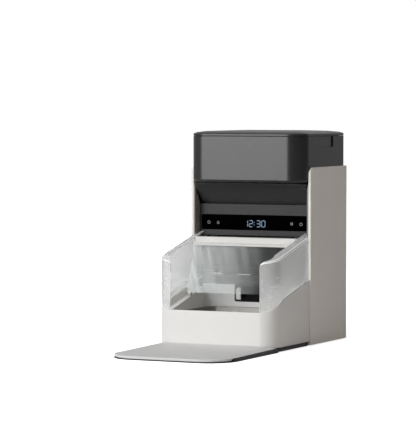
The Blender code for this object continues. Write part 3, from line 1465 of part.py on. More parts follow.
def outlet_sensor():
    """Small pale sensor post at the left of the outlet, with a ring on its top."""
    left = MOUTH_X - MOUTH_HALF + CHUTE_SIDE + FIT
    front = EDGE_Y + CHUTE_START + FIT
    slope = (CHUTE_APRON_FLOOR - MOUTH_FLOOR - FIT) / (CHUTE_APRON - CHUTE_START)
    foot = MOUTH_FLOOR + FIT * 2 + slope * (SENSOR_DEPTH + FIT)
    outline = even((left, front), (left + SENSOR_WIDTH, front + SENSOR_DEPTH), SENSOR_ROUND, FEW_STEPS)
    post = prism("outlet_sensor", "Z", outline, foot, foot + SENSOR_BODY, "white_nylon")
    middle = (left + SENSOR_WIDTH / 2, front + SENSOR_RING_OUTER, foot + SENSOR_BODY - CUSP)
    profile = [(SENSOR_RING_BORE, 0.0), (SENSOR_RING_OUTER, 0.0)]
    profile += [(SENSOR_RING_OUTER, SENSOR_RING), (SENSOR_RING_BORE, SENSOR_RING)]
    fuse(post, turned("sensor_ring", "Z", profile, middle, None, SMALL_TURN_STEPS))


def hopper_layer(inset, z):
    """One level outline of the hopper."""
    front = EDGE_Y - HOPPER_REACH
    return plan(HOPPER_HALF, front, BACK_Y - FIT, HOPPER_CORNER, HOPPER_REAR_CORNER, inset), z


def notch_box(name, side, depth, grow):
    """The finger notch at one side, under the seam; grown, it is the wall behind it."""
    outline = rounded(
        (EDGE_Y + NOTCH_FRONT - grow, NOTCH_FLOOR - grow),
        (EDGE_Y + NOTCH_BACK + grow, SEAM_HEIGHT + OVERRUN),
        (NOTCH_CORNER, NOTCH_CORNER, CUSP, CUSP),
        SMALL_STEPS,
    )
    inner = side * (HOPPER_HALF - depth)
    outer = side * (HOPPER_HALF + OVERRUN)
    return prism(name, "X", outline, min(inner, outer), max(inner, outer))


def hopper_tank():
    """Food tank with rounded corners, finger notches and a spout through the deck."""
    top = SEAM_HEIGHT - FIT
    layers = [
        hopper_layer(HOPPER_ROUND, HOPPER_FLOOR),
        hopper_layer(HOPPER_ROUND / 3, HOPPER_FLOOR + HOPPER_ROUND / 3),
        hopper_layer(0.0, HOPPER_FLOOR + HOPPER_ROUND),
        hopper_layer(0.0, top),
    ]
    tank = stack("hopper_tank", layers, "dark_shell")
    inside = [
        hopper_layer(HOPPER_ROUND, HOPPER_FLOOR + HOPPER_WALL),
        hopper_layer(HOPPER_WALL, HOPPER_FLOOR + HOPPER_WALL + HOPPER_ROUND),
        hopper_layer(HOPPER_WALL, top + OVERRUN),
    ]
    room = stack("tank_room", inside)
    for side, name in ((-1, "left"), (1, "right")):
        cut(room, notch_box(f"notch_wall_{name}", side, NOTCH_DEPTH + HOPPER_WALL, HOPPER_WALL))
        cut(tank, notch_box(f"notch_{name}", side, NOTCH_DEPTH, 0.0))
    cut(tank, room)
    low = (-SPOUT_HALF_X, ROTOR_Y - SPOUT_HALF_Y)
    high = (SPOUT_HALF_X, ROTOR_Y + SPOUT_HALF_Y)
    spout = even(low, high, SPOUT_WALL, FEW_STEPS)
    fuse(tank, prism("spout", "Z", spout, SPOUT_FOOT, HOPPER_FLOOR + HOPPER_WALL / 2))
    wall = SPOUT_WALL
    bore = even((low[0] + wall, low[1] + wall), (high[0] - wall, high[1] - wall), wall / 2, FEW_STEPS)
    cut(tank, prism("spout_bore", "Z", bore, SPOUT_FOOT - OVERRUN, HOPPER_FLOOR + HOPPER_WALL + OVERRUN))
    return tank


def hopper_funnel():
    """Sloped liner that leads the food to the spout."""
    wall = FUNNEL_WALL
    gap = HOPPER_WALL + NOTCH_DEPTH + HOPPER_WALL + FIT
    front = EDGE_Y - HOPPER_REACH + HOPPER_WALL + FIT
    back = BACK_Y - FIT - HOPPER_WALL - FIT
    half = HOPPER_HALF - gap
    corner = HOPPER_CORNER - HOPPER_WALL
    foot_half = (SPOUT_HALF_X - SPOUT_WALL, SPOUT_HALF_Y - SPOUT_WALL)
    foot_z = HOPPER_FLOOR + HOPPER_WALL + FUNNEL_FOOT_GAP

    def upper(inset):
        radii = (corner - inset, corner - inset, HOPPER_REAR_CORNER, HOPPER_REAR_CORNER)
        return rounded((-half + inset, front + inset), (half - inset, back - inset), radii, SMALL_STEPS)

    def lower(grow):
        low = (-foot_half[0] - grow, ROTOR_Y - foot_half[1] - grow)
        high = (foot_half[0] + grow, ROTOR_Y + foot_half[1] + grow)
        return even(low, high, wall / 2 + grow / 2, SMALL_STEPS)

    layers = [
        (lower(wall * 2), foot_z),
        (upper(0.0), FUNNEL_TOP - wall),
        (upper(0.0), FUNNEL_TOP),
        (upper(wall), FUNNEL_TOP),
        (lower(0.0), foot_z + wall),
        (lower(0.0), foot_z),
    ]
    return stack("hopper_funnel", layers, "dark_shell", closed=True)


def hopper_lid():
    """Crowned lid with a skirt that fits inside the tank."""
    start = SEAM_HEIGHT
    rise = LID_TOP - start
    reach = (HOPPER_REACH + PANEL_DEPTH) / 2
    layers = []
    for inset_share, rise_share in zip(LID_INSET_SHARES, LID_RISE_SHARES):
        layers.append(hopper_layer(inset_share * reach, start + rise_share * rise))
    lid = stack("hopper_lid", layers, "dark_shell")
    gap = HOPPER_WALL + NOTCH_DEPTH + HOPPER_WALL + LID_SKIRT_GAP
    wall = gap + LID_SKIRT_WALL
    skirt = [
        hopper_layer(gap, start - LID_SKIRT),
        hopper_layer(gap, start + LID_SHELL / 2),
    ]
    fuse(lid, stack("lid_skirt", skirt))
    hollow = [hopper_layer(wall, start - LID_SKIRT - OVERRUN)]
    hollow.append(hopper_layer(wall, start + LID_BAND - LID_SHELL))
    for inset_share, rise_share in zip(LID_INSET_SHARES, LID_RISE_SHARES):
        inset = inset_share * reach + LID_SHELL
        if inset > wall:
            hollow.append(hopper_layer(inset, start + rise_share * rise - LID_SHELL))
    cut(lid, stack("lid_hollow", hollow))
    inner = CUP_RADIUS + FIT
    outer = inner + CUP_WALL
    profile = [(inner, start), (outer, start), (outer, LID_TOP - LID_SHELL), (inner, LID_TOP - LID_SHELL)]
    fuse(lid, turned("cup_ring", "Z", profile, (0, EDGE_Y + CUP_SETBACK, 0)))
    return lid


def lid_seal():
    """Rubber seal round the skirt, just clear of the tank."""
    outer = HOPPER_WALL + NOTCH_DEPTH + HOPPER_WALL + LID_SKIRT_GAP - FIT
    reach = outer - LID_SKIRT_GAP + FIT * 2
    top = SEAM_HEIGHT - SEAL_DROP
    foot = top - SEAL_HEIGHT
    layers = [
        hopper_layer(outer, foot),
        hopper_layer(reach, (foot + top) / 2),
        hopper_layer(outer, top),
    ]
    return stack("lid_seal", layers, "rubber", closed=True)


def desiccant_cup():
    """Cup for a drying sachet, open upward under the lid."""
    y = EDGE_Y + CUP_SETBACK
    top = SEAM_HEIGHT + LID_BAND
    foot = top - CUP_HEIGHT
    wall = CUP_WALL
    profile = [
        (0.0, foot),
        (CUP_RADIUS - wall, foot),
        (CUP_RADIUS, foot + wall),
        (CUP_RADIUS, top),
        (CUP_RADIUS - wall, top),
        (CUP_RADIUS - wall, foot + wall),
        (0.0, foot + wall),
    ]
    return turned("desiccant_cup", "Z", profile, (0, y, 0), "white_shell")


def hopper_and_lid():
    """The removable hopper and its lift-off lid."""
    centre = (0, EDGE_Y + (PANEL_DEPTH - HOPPER_REACH) / 2, HOPPER_FLOOR)
    carry("hopper_lift", centre, [hopper_tank(), hopper_funnel()])
    lid_centre = (centre[0], centre[1], SEAM_HEIGHT)
    carry("lid_lift", lid_centre, [hopper_lid(), lid_seal(), desiccant_cup()])


def battery_box():
    """Battery tray at the back with two contact plates and its cover."""
    wall = BATTERY_WALL
    bottom = PLATE_TOP + FIT
    room_low = bottom + wall
    room_high = room_low + BATTERY_CELL_ROOM
    back = REAR_INNER_Y - FIT
    front = back - BATTERY_DEPTH
    tray = box(
        "battery_tray",
        (-BATTERY_HALF - wall, front - wall, bottom),
        (BATTERY_HALF + wall, back, room_high + wall),
        "dark_shell",
    )
    cut(tray, box("cell_room", (-BATTERY_HALF, front, room_low), (BATTERY_HALF, back + OVERRUN, room_high)))
    margin = CONTACT_MARGIN
    contact_levels = (room_low + FIT, room_high - FIT - CONTACT_SHEET)
    for name, z in zip(("battery_contact_low", "battery_contact_high"), contact_levels):
        low = (-BATTERY_HALF + margin, front + margin, z)
        box(name, low, (BATTERY_HALF - margin, back - margin, z + CONTACT_SHEET), "brass")
    low, high = battery_opening(-FIT)
    corners = ((low[0], REAR_INNER_Y, low[1]), (high[0], REAR_FACE_Y, high[1]))
    cover = box("battery_cover", *corners, "dark_shell")
    grip_top = high[1] - GRIP_DROP
    grip_low = (-GRIP_HALF, REAR_FACE_Y - GRIP_DEPTH, grip_top - GRIP_HEIGHT)
    cut(cover, box("cover_grip", grip_low, (GRIP_HALF, REAR_FACE_Y + OVERRUN, grip_top)))
    middle = (0, REAR_FACE_Y, (low[1] + high[1]) / 2)
    carry("battery_cover_slide", middle, [cover])


def battery_opening(grow):
    """Corners of the rear cover's opening for the battery cover."""
    bottom = PLATE_TOP + FIT + BATTERY_WALL - BATTERY_LIP / 2
    top = PLATE_TOP + FIT + BATTERY_WALL + BATTERY_CELL_ROOM + BATTERY_LIP
    half = BATTERY_HALF + BATTERY_LIP
    return (-half - grow, bottom + BATTERY_LIP - grow), (half + grow, top + grow)


def rear_cover():
    """Rear cover with vents, the battery opening, the inlet's hole and screw holes."""
    low = (-CHEEK_OUTER_X, REAR_INNER_Y, PLATE_FOOT + FIT)
    cover = box("rear_cover", low, (CHEEK_OUTER_X, REAR_FACE_Y, DECK_TOP - FIT), "dark_shell")
    soften(cover, EDGE / 2)
    start = REAR_INNER_Y - OVERRUN
    stop = REAR_FACE_Y + OVERRUN
    near, far = battery_opening(0.0)
    cut(cover, box("battery_opening", (near[0], start, near[1]), (far[0], stop, far[1])))
    for count in range(VENT_COUNT):
        z = VENT_BASE_Z + VENT_PITCH * count
        outline = even((-VENT_HALF, z), (VENT_HALF, z + VENT_WIDTH), VENT_WIDTH / 2 - CUSP, FEW_STEPS)
        cut(cover, prism(f"vent_{count + 1}", "Y", outline, start, stop))
    place = (INLET_X, 0, INLET_Z)
    cut(cover, rod("inlet_hole", "Y", INLET_RADIUS + FIT, start, stop, place))
    screws(cover)


def screws(cover):
    """Two screws in counterbored holes of the rear cover."""
    seat = REAR_FACE_Y - SCREW_HEAD_HEIGHT
    start = REAR_INNER_Y - OVERRUN
    stop = REAR_FACE_Y + OVERRUN
    end = REAR_INNER_Y - SCREW_LENGTH + FIT
    profile = [
        (0.0, end),
        (SCREW_SHANK, end + SCREW_SHANK),
        (SCREW_SHANK, seat),
        (SCREW_HEAD, seat),
        (SCREW_HEAD, REAR_FACE_Y - EDGE / 2),
        (SCREW_HEAD - EDGE / 2, REAR_FACE_Y),
        (SCREW_SOCKET, REAR_FACE_Y),
        (SCREW_SOCKET, REAR_FACE_Y - SCREW_SOCKET_DEPTH),
        (0.0, REAR_FACE_Y - SCREW_SOCKET_DEPTH),
    ]
    for side, name in ((-1, "cover_screw_left"), (1, "cover_screw_right")):
        place = (screw_x(side), 0, SCREW_Z)
        cut(cover, rod(f"{name}_hole", "Y", SCREW_SHANK + FIT, start, stop, place))
        cut(cover, rod(f"{name}_seat", "Y", SCREW_HEAD + FIT, seat - FIT, stop, place))
        turned(name, "Y", profile, place, "steel", SMALL_TURN_STEPS)


def power_inlet():
    """Round low-voltage socket behind the rear cover, with its centre pin."""
    face = REAR_FACE_Y
    bore_end = face - INLET_BORE_DEPTH
    profile = [
        (0.0, face - INLET_DEPTH),
        (INLET_RADIUS, face - INLET_DEPTH),
        (INLET_RADIUS, face),
        (INLET_BORE, face),
        (INLET_BORE, bore_end),
        (INLET_PIN, bore_end),
        (INLET_PIN, face - EDGE),
        (0.0, face - EDGE),
    ]
    turned("power_inlet", "Y", profile, (INLET_X, 0, INLET_Z), "black_gloss", SMALL_TURN_STEPS)


def antenna_board():
    """Open antenna board under the well's floor."""
    top = WELL_FLOOR - WALL - FIT
    front = BASE_FRONT_Y + FRONT_RIM + ANTENNA_MARGIN
    back = EDGE_Y - ANTENNA_MARGIN
    half = WELL_HALF - ANTENNA_MARGIN
    outline = even((-half, front), (half, back), WELL_CORNER / 2, SMALL_STEPS)
    board = prism("antenna_board", "Z", outline, top - BOARD_SHEET, top, "board")
    band = ANTENNA_BAND
    hole = even((-half + band, front + band), (half - band, back - band), ANTENNA_CORNER, SMALL_STEPS)
    cut(board, prism("antenna_hole", "Z", hole, top - BOARD_SHEET - OVERRUN, top + OVERRUN))


def build_feeder():
    """Build every piece of the feeder."""
    clear_scene()
    base_plate()
    step_pieces()
    base_housing()
    bowl()
    side_panels()
    guards()
    cheeks()
    column_front()
    face_panel()
    hopper_deck()
    outlet_hood()
    sliding_cover()
    cover_drive()
    dispenser_housing()
    rotor()
    chute()
    outlet_sensor()
    hopper_and_lid()
    battery_box()
    rear_cover()
    power_inlet()
    antenna_board()


build_feeder()
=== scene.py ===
"""The look of the microchip pet feeder: finishes, small details, studio and camera."""

import json
import math

import bmesh
import bpy
from mathutils import Matrix, Vector


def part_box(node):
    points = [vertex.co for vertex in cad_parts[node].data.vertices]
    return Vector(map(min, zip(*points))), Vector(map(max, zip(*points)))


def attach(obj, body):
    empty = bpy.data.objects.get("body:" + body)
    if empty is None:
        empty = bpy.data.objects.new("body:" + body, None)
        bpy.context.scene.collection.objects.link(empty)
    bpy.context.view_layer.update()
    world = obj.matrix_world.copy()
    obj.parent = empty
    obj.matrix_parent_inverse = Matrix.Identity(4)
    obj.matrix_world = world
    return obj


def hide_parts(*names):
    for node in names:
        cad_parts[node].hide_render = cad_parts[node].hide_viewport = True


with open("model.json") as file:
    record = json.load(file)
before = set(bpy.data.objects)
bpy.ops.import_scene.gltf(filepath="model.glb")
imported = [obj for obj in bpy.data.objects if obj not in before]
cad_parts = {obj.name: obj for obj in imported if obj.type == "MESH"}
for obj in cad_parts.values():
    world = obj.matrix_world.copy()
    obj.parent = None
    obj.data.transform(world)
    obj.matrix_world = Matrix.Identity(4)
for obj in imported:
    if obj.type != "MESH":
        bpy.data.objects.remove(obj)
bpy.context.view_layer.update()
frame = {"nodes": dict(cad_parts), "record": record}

MM = 0.001
RECORD = frame["record"]
BODY_OF = {node: body for body, nodes in RECORD["behaviour"]["bodies"].items() for node in nodes}

# Places taken from the solids.
GLASS_LOW, GLASS_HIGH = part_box("display_window")
HOOD_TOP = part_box("outlet_hood")[1].z
LATCH_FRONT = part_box("hood_latch")[0].y
TANK_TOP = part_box("hopper_tank")[1].z

# Noise stays mostly between these two values, so they are taken for its ends.
NOISE_LOW = 0.3
NOISE_HIGH = 0.7

# Plastics: size of the flow clouds, and how far the grain moves the roughness and the normal.
FLOW_CLOUD = 45 * MM
ROUGHNESS_SPREAD = 0.04
GRAIN_STRENGTH = 0.35

# Slanting streaks in the clear sheets' haze, which paint reflections: their width and slant, how
# fast they change along each axis, and the least and most of the haze that they leave.
STREAK_WIDTH = 9 * MM
STREAK_TURN = math.radians(24)
STREAK_CHANGE = (1.0, 0.02, 0.08)
STREAK_RANGE = (0.75, 1.25)

# Solids with round faces that show, and how far each one's sharp edges are eased, in mm.
EASING = {
    "hopper_tank": 0.5,
    "hopper_lid": 0.5,
    "hopper_deck": 0.3,
    "base_housing": 0.22,
    "guard_left": 0.45,
    "guard_right": 0.45,
    "bowl": 0.25,
    "step_mat": 0.25,
    "step_tray": 0.2,
    "base_plate": 0.3,
    "side_panel_left": 0.6,
    "side_panel_right": 0.6,
    "cheek_left": 0.2,
    "cheek_right": 0.2,
    "cover_bar": 0.4,
    "face_panel": 0.45,
    "outlet_hood": 0.12,
}
EASING_STEPS = 2
# Milky parts whose eased edges are painted near white: a painted highlight along them.
EDGE_LIT = ("guard_left", "guard_right")
# Points closer than this are one, faces flatter than this are one, and softer edges are round.
WELD = 0.25 * MM
SAME_POINT = 0.001 * MM
FLAT_ANGLE = math.radians(0.4)
SMOOTH_ANGLE = math.radians(28)

# Lit marks start this far in front of the window and are this thick, so they reach into it.
INK_LIFT = 0.1 * MM
INK_DEPTH = 0.15 * MM
INK_FRONT = GLASS_LOW.y - INK_LIFT

# Segments of one digit, as in any seven-segment clock, and which of them each digit lights.
SEGMENT_ENDS = {
    "a": ((0, 2), (1, 2)),
    "b": ((1, 2), (1, 1)),
    "c": ((1, 1), (1, 0)),
    "d": ((0, 0), (1, 0)),
    "e": ((0, 1), (0, 0)),
    "f": ((0, 2), (0, 1)),
    "g": ((0, 1), (1, 1)),
}
LIT_SEGMENTS = {"0": "abcdef", "1": "bc", "2": "abged", "3": "abgcd"}
CLOCK_DIGITS = "12:30"
CLOCK_MIDDLE_X = 0.4 * MM
CLOCK_MIDDLE_Z = (GLASS_LOW.z + GLASS_HIGH.z) / 2 - 1.6 * MM
DIGIT_WIDTH = 5.6 * MM
DIGIT_HEIGHT = 9.4 * MM
DIGIT_PITCH = 8.3 * MM
# From the clock's middle to the middle of its first digit.
CLOCK_REACH = 1.8 * DIGIT_PITCH
# Half a segment's width, and how far its points keep from the digit's corners.
SEGMENT_HALF = 0.5 * MM
SEGMENT_INSET = 0.4 * SEGMENT_HALF
# The colon's square dots, the room they take, and their heights as shares of a digit's.
COLON_HALF = 1.1 * SEGMENT_HALF
COLON_PITCH = 0.5 * DIGIT_PITCH
COLON_HEIGHTS = (0.3, 0.7)
SQUARE = ((-1, -1), (1, -1), (1, 1), (-1, 1))

# Touch icons, in mm from their common height: a ring, a drop, a small tray, a ring with a stem.
# Each arc has its middle's x and z, its radius and its first and last angle in degrees.
ICON_ARCS = (
    (-77.2, 0.0, 2.1, 0, 360),
    (-61.6, -0.4, 1.68, -220, 40),
    (77.1, -0.3, 2.1, 120, 420),
)
# Each bar has the x and z of its two ends.
ICON_BARS = (
    (-63.0, 0.6, -61.6, 2.1),
    (-60.2, 0.6, -61.6, 2.1),
    (59.7, 1.6, 63.7, 1.6),
    (60.0, 0.0, 63.4, 0.0),
    (60.3, -1.6, 63.1, -1.6),
    (59.9, 1.6, 60.4, -1.6),
    (63.5, 1.6, 63.0, -1.6),
    (77.1, 0.0, 77.1, 2.6),
)
ICON_Z = CLOCK_MIDDLE_Z + 0.9 * MM
ICON_LINE = 0.55 * MM
ARC_STEPS = 20

# Slim clip on the hood's ledge.
CLIP_PLACE = (-14 * MM, LATCH_FRONT + 2 * MM, HOOD_TOP + 0.9 * MM)
CLIP_SIZE = (21 * MM, 3.2 * MM, 1.2 * MM)
CLIP_EASING = 0.4 * MM

# Pad in each finger notch: its reach in Y, in Z and outwards, and its lower corners' radius.
GRIP_Y = (121.5 * MM, 173.9 * MM)
GRIP_Z = (TANK_TOP - 16.8 * MM, TANK_TOP - 0.6 * MM)
GRIP_X = (91.9 * MM, 93.3 * MM)
GRIP_CORNER = 3 * MM
GRIP_CORNER_STEPS = 6

# The surround's fill on every surface, and what gloss mirrors of it: bright on one side,
# nearly dark on the other, with a soft change between two values of the direction.
FILL_LEVEL = 0.12
MIRRORED_LEVEL = 0.4
DARK_SIDE_LEVEL = 0.02
BRIGHT_SIDE = (-0.9, 0.43, 0.0)
SIDE_CHANGE = (-0.3, 0.05)

# The floor: half its side, how far it lies below the feeder, its own glow near and far, the
# distances where that change starts and stops, and the share of the glow that gloss mirrors.
FLOOR_HALF = 6.0
FLOOR_DROP = 0.1 * MM
NEAR_GLOW = 0.84
FAR_GLOW = 1.02
NEAR_REACH = 0.45
FAR_REACH = 1.1
GLOSS_SHARE = 0.1

# Each lamp: name, place, size, watts, colour and whether glossy surfaces mirror it.
LAMPS = (
    ("softbox_front_left", (-1.15, -2.3, 1.0), (1.3, 2.3), 58.0, "#FFFFFF", True),
    ("softbox_top", (-0.2, -0.3, 2.2), (1.2, 1.2), 13.0, "#FFFFFF", True),
    ("fill_right", (2.0, -0.9, 1.0), (1.6, 2.0), 4.8, "#FFEAD8", False),
)
LAMP_TARGET = Vector((0.0, 0.0, 0.18))

# The camera's place, how far it dips and turns in degrees, its lens, and how far it sees.
CAMERA_PLACE = (1.6321, -3.4597, 0.3679)
CAMERA_DIP = 2.674
CAMERA_TURN = 25.714
LENS_MM = 208.1
SENSOR_MM = 36.0
CLIP_END = 50.0


def linear(code):
    """Linear colour of an sRGB hex code."""
    parts = [int(code[i : i + 2], 16) / 255 for i in (1, 3, 5)]
    return [c / 12.92 if c <= 0.04045 else ((c + 0.055) / 1.055) ** 2.4 for c in parts] + [1.0]


def feed(tree, node, inputs):
    """Give each named input of a node its link or its value."""
    for name, value in inputs.items():
        if isinstance(value, bpy.types.NodeSocket):
            tree.links.new(value, node.inputs[name])
        else:
            node.inputs[name].default_value = value


def put(tree, kind, inputs=None, **settings):
    """Add a node with its settings, links and values."""
    node = tree.nodes.new(kind)
    for name, value in settings.items():
        setattr(node, name, value)
    feed(tree, node, inputs or {})
    return node


def new_finish(name):
    """A material with its tree, its Principled shader and its Object coordinates."""
    material = bpy.data.materials.new(name)
    material.use_nodes = True
    tree = material.node_tree
    shader = tree.nodes["Principled BSDF"]
    place = put(tree, "ShaderNodeTexCoord").outputs["Object"]
    return material, tree, shader, place


def wandering(tree, place, size, ends, detail=2.0, coarseness=0.5):
    """A value that wanders between two ends in patches about one size wide, and its noise."""
    settings = {"Vector": place, "Scale": 1 / size, "Detail": detail, "Roughness": coarseness}
    noise = put(tree, "ShaderNodeTexNoise", settings).outputs["Fac"]
    settings = {"Value": noise, "From Min": NOISE_LOW, "From Max": NOISE_HIGH}
    settings.update({"To Min": ends[0], "To Max": ends[1]})
    return put(tree, "ShaderNodeMapRange", settings).outputs["Result"], noise


def clouded(tree, place, size, pale, deep, detail=3.0):
    """A colour that drifts between two hex codes in clouds about one size wide."""
    share, _ = wandering(tree, place, size, (0.0, 1.0), detail)
    settings = {0: share, 6: linear(pale), 7: linear(deep)}
    return put(tree, "ShaderNodeMix", settings, data_type="RGBA").outputs[2]


def moulded(name, pale, deep, roughness, grain_size, depth, specular=0.5):
    """Injection-moulded plastic from a spark-eroded tool: a fine grain and faint flow clouds."""
    material, tree, shader, place = new_finish(name)
    ends = (roughness - ROUGHNESS_SPREAD, roughness + ROUGHNESS_SPREAD)
    spread, fine = wandering(tree, place, grain_size, ends, coarseness=0.6)
    settings = {"Height": fine, "Strength": GRAIN_STRENGTH, "Distance": depth}
    bump = put(tree, "ShaderNodeBump", settings)
    settings = {"Base Color": clouded(tree, place, FLOW_CLOUD, pale, deep), "Roughness": spread}
    settings.update({"Normal": bump.outputs["Normal"], "Specular IOR Level": specular})
    feed(tree, shader, settings)
    return material


def see_through(name, haze_low, left_haze_and_reflection, haze_from, haze_to):
    """Polished clear polycarbonate: a thin haze, which can grow to the left, with slanting
    streaks; that growth and the streaks are painted reflection.
    """
    material, tree, shader, place = new_finish(name)
    feed(tree, shader, {"Base Color": linear("#E4E6E6"), "Roughness": 0.12})
    split = put(tree, "ShaderNodeSeparateXYZ", {"Vector": place}).outputs
    settings = {"Value": split["X"], "From Min": haze_from, "From Max": haze_to}
    settings.update({"To Min": left_haze_and_reflection, "To Max": haze_low})
    across = put(tree, "ShaderNodeMapRange", settings).outputs["Result"]
    # The painted reflection streaks slant and are much longer than wide.
    settings = {"Vector": place, "Rotation": (0.0, STREAK_TURN, 0.0)}
    turned = put(tree, "ShaderNodeMapping", settings).outputs[0]
    settings = {"Vector": turned, "Scale": STREAK_CHANGE}
    stretched = put(tree, "ShaderNodeMapping", settings).outputs[0]
    streak, _ = wandering(tree, stretched, STREAK_WIDTH, STREAK_RANGE, 1.0)
    haze_and_reflection = put(tree, "ShaderNodeMath", {0: across, 1: streak}, operation="MULTIPLY").outputs[0]
    clear = put(tree, "ShaderNodeBsdfTransparent", {"Color": linear("#F8FAFA")}).outputs[0]
    mix = put(tree, "ShaderNodeMixShader", {0: haze_and_reflection, 1: clear, 2: shader.outputs[0]}).outputs[0]
    feed(tree, tree.nodes["Material Output"], {"Surface": mix})
    return material


def frosted_polycarbonate():
    """Satin-textured polycarbonate: milky, and what stands behind it blurs with distance."""
    material, tree, shader, place = new_finish("polycarbonate_moulded_satin")
    spread, _ = wandering(tree, place, 0.9 * MM, (0.2, 0.28))
    feed(
        tree,
        shader,
        {
            "Base Color": linear("#F0F1F1"),
            "Transmission Weight": 0.72,
            "IOR": 1.585,
            "Subsurface Weight": 1.0,
            "Subsurface Radius": (1.0, 1.0, 1.0),
            "Subsurface Scale": 4 * MM,
            "Roughness": spread,
        },
    )
    # Lamps shine through the wall, so it casts no full shadow.
    shadow = put(tree, "ShaderNodeLightPath").outputs["Is Shadow Ray"]
    clear = put(tree, "ShaderNodeBsdfTransparent", {"Color": linear("#F6F7F7")}).outputs[0]
    mix = put(tree, "ShaderNodeMixShader", {0: shadow, 1: shader.outputs[0], 2: clear}).outputs[0]
    feed(tree, tree.nodes["Material Output"], {"Surface": mix})
    return material


def bright_edge():
    """Edge of milky polycarbonate, painted near white and opaque: a painted highlight that reads
    as a thin white line.
    """
    material, tree, shader, _ = new_finish("polycarbonate_edge_painted_highlight")
    settings = {"Base Color": linear("#FBFBFB"), "Roughness": 0.25, "Subsurface Weight": 0.6}
    settings.update({"Subsurface Radius": (1.0, 1.0, 1.0), "Subsurface Scale": 6 * MM})
    feed(tree, shader, settings)
    return material


def display_window():
    """Back-printed acrylic with an anti-glare skin: deep black that mirrors nothing."""
    material, tree, shader, place = new_finish("acrylic_backprinted_black")
    smear, _ = wandering(tree, place, 25 * MM, (0.16, 0.22), 3.0)
    settings = {"Base Color": linear("#030304"), "Specular IOR Level": 0.0, "Roughness": smear}
    feed(tree, shader, settings)
    return material


def glowing(name, code, strength):
    """Light-emitting segments behind the window: an even glow."""
    material, tree, shader, _ = new_finish(name)
    settings = {"Base Color": linear("#101214"), "Roughness": 0.4}
    settings.update({"Emission Color": linear(code), "Emission Strength": strength})
    feed(tree, shader, settings)
    return material


def mat_plastic():
    """Thermoplastic elastomer skin over a moulded step: soft, dry and finely pebbled."""
    material, tree, shader, place = new_finish("elastomer_moulded_grey")
    pebbles = put(tree, "ShaderNodeTexVoronoi", {"Vector": place, "Scale": 1 / (1.2 * MM)})
    settings = {"Height": pebbles.outputs["Distance"], "Strength": 0.2, "Distance": 0.05 * MM}
    bump = put(tree, "ShaderNodeBump", settings)
    settings = {"Base Color": clouded(tree, place, 60 * MM, "#D6D6D6", "#D2D2D2")}
    settings.update({"Roughness": 0.55, "Normal": bump.outputs["Normal"]})
    feed(tree, shader, settings)
    return material


def rubber():
    """Moulded rubber: black, dull and slightly dusty."""
    material, tree, shader, place = new_finish("rubber_moulded_black")
    dusty = clouded(tree, place, 9 * MM, "#161616", "#232323", 4.0)
    feed(tree, shader, {"Base Color": dusty, "Roughness": 0.8})
    return material


def brushed_steel():
    """Stainless steel with a satin brush: fine lines that stretch the highlights."""
    material, tree, shader, place = new_finish("stainless_steel_satin")
    stretched = put(tree, "ShaderNodeMapping", {"Vector": place, "Scale": (1.0, 0.04, 0.04)})
    spread, lines = wandering(tree, stretched.outputs[0], 0.5 * MM, (0.44, 0.56), 3.0, 0.7)
    settings = {0: lines, 6: linear("#8B8985"), 7: linear("#7B7975")}
    tint = put(tree, "ShaderNodeMix", settings, data_type="RGBA").outputs[2]
    feed(tree, shader, {"Base Color": tint, "Roughness": spread, "Metallic": 1.0})
    return material


def turned_brass():
    """Turned or stamped brass with faint tarnish clouds."""
    material, tree, shader, place = new_finish("brass_turned")
    tarnish = clouded(tree, place, 4 * MM, "#C9A25A", "#B68E48")
    feed(tree, shader, {"Base Color": tarnish, "Roughness": 0.34, "Metallic": 1.0})
    return material


def circuit_board():
    """Fibreglass board under green solder mask, with copper tracks showing as paler lines."""
    material, tree, shader, place = new_finish("fibreglass_solder_mask")
    settings = {"Vector": place, "Scale": 1 / (5 * MM), "Mortar Size": 0.06}
    settings.update({"Color1": linear("#0F4A2A"), "Color2": linear("#0D4326")})
    settings["Mortar"] = linear("#2F7A4C")
    tracks = put(tree, "ShaderNodeTexBrick", settings).outputs["Color"]
    feed(tree, shader, {"Base Color": tracks, "Roughness": 0.35})
    return material


# Each plastic: name, pale and deep colour, roughness, size and depth of its grain in metres,
# and its specular level where that isn't the usual one.
WARM_WHITE = moulded("abs_moulded_warm_white", "#E6E5E3", "#E3E2E0", 0.44, 0.9 * MM, 0.006 * MM)
PANEL_WHITE = moulded("abs_moulded_stone_white", "#EEEAE4", "#EBE7E1", 0.46, 0.9 * MM, 0.006 * MM)
# The cover bar is white plastic like the base, painted a little greyer: painted shade, since its
# up-facing front takes more lamp light than the base's front.
BAR_WHITE_SHADED = moulded("abs_moulded_white_painted_shade", "#D6D5D3", "#D3D2D0", 0.42, 0.9 * MM, 0.006 * MM)
SMOKE = moulded("abs_polished_charcoal", "#212122", "#1E1E1F", 0.3, 0.8 * MM, 0.006 * MM)
CHARCOAL = moulded("abs_moulded_charcoal", "#3E3E3F", "#3A3A3B", 0.6, 1.0 * MM, 0.012 * MM, 0.3)
# The column's front under the hopper is the same charcoal plastic, painted darker and duller:
# painted shade of the recess under the hopper's overhang.
COVE_PAINTED_SHADE = moulded(
    "abs_charcoal_painted_shade", "#242425", "#212122", 0.5, 1.0 * MM, 0.012 * MM, 0.1
)
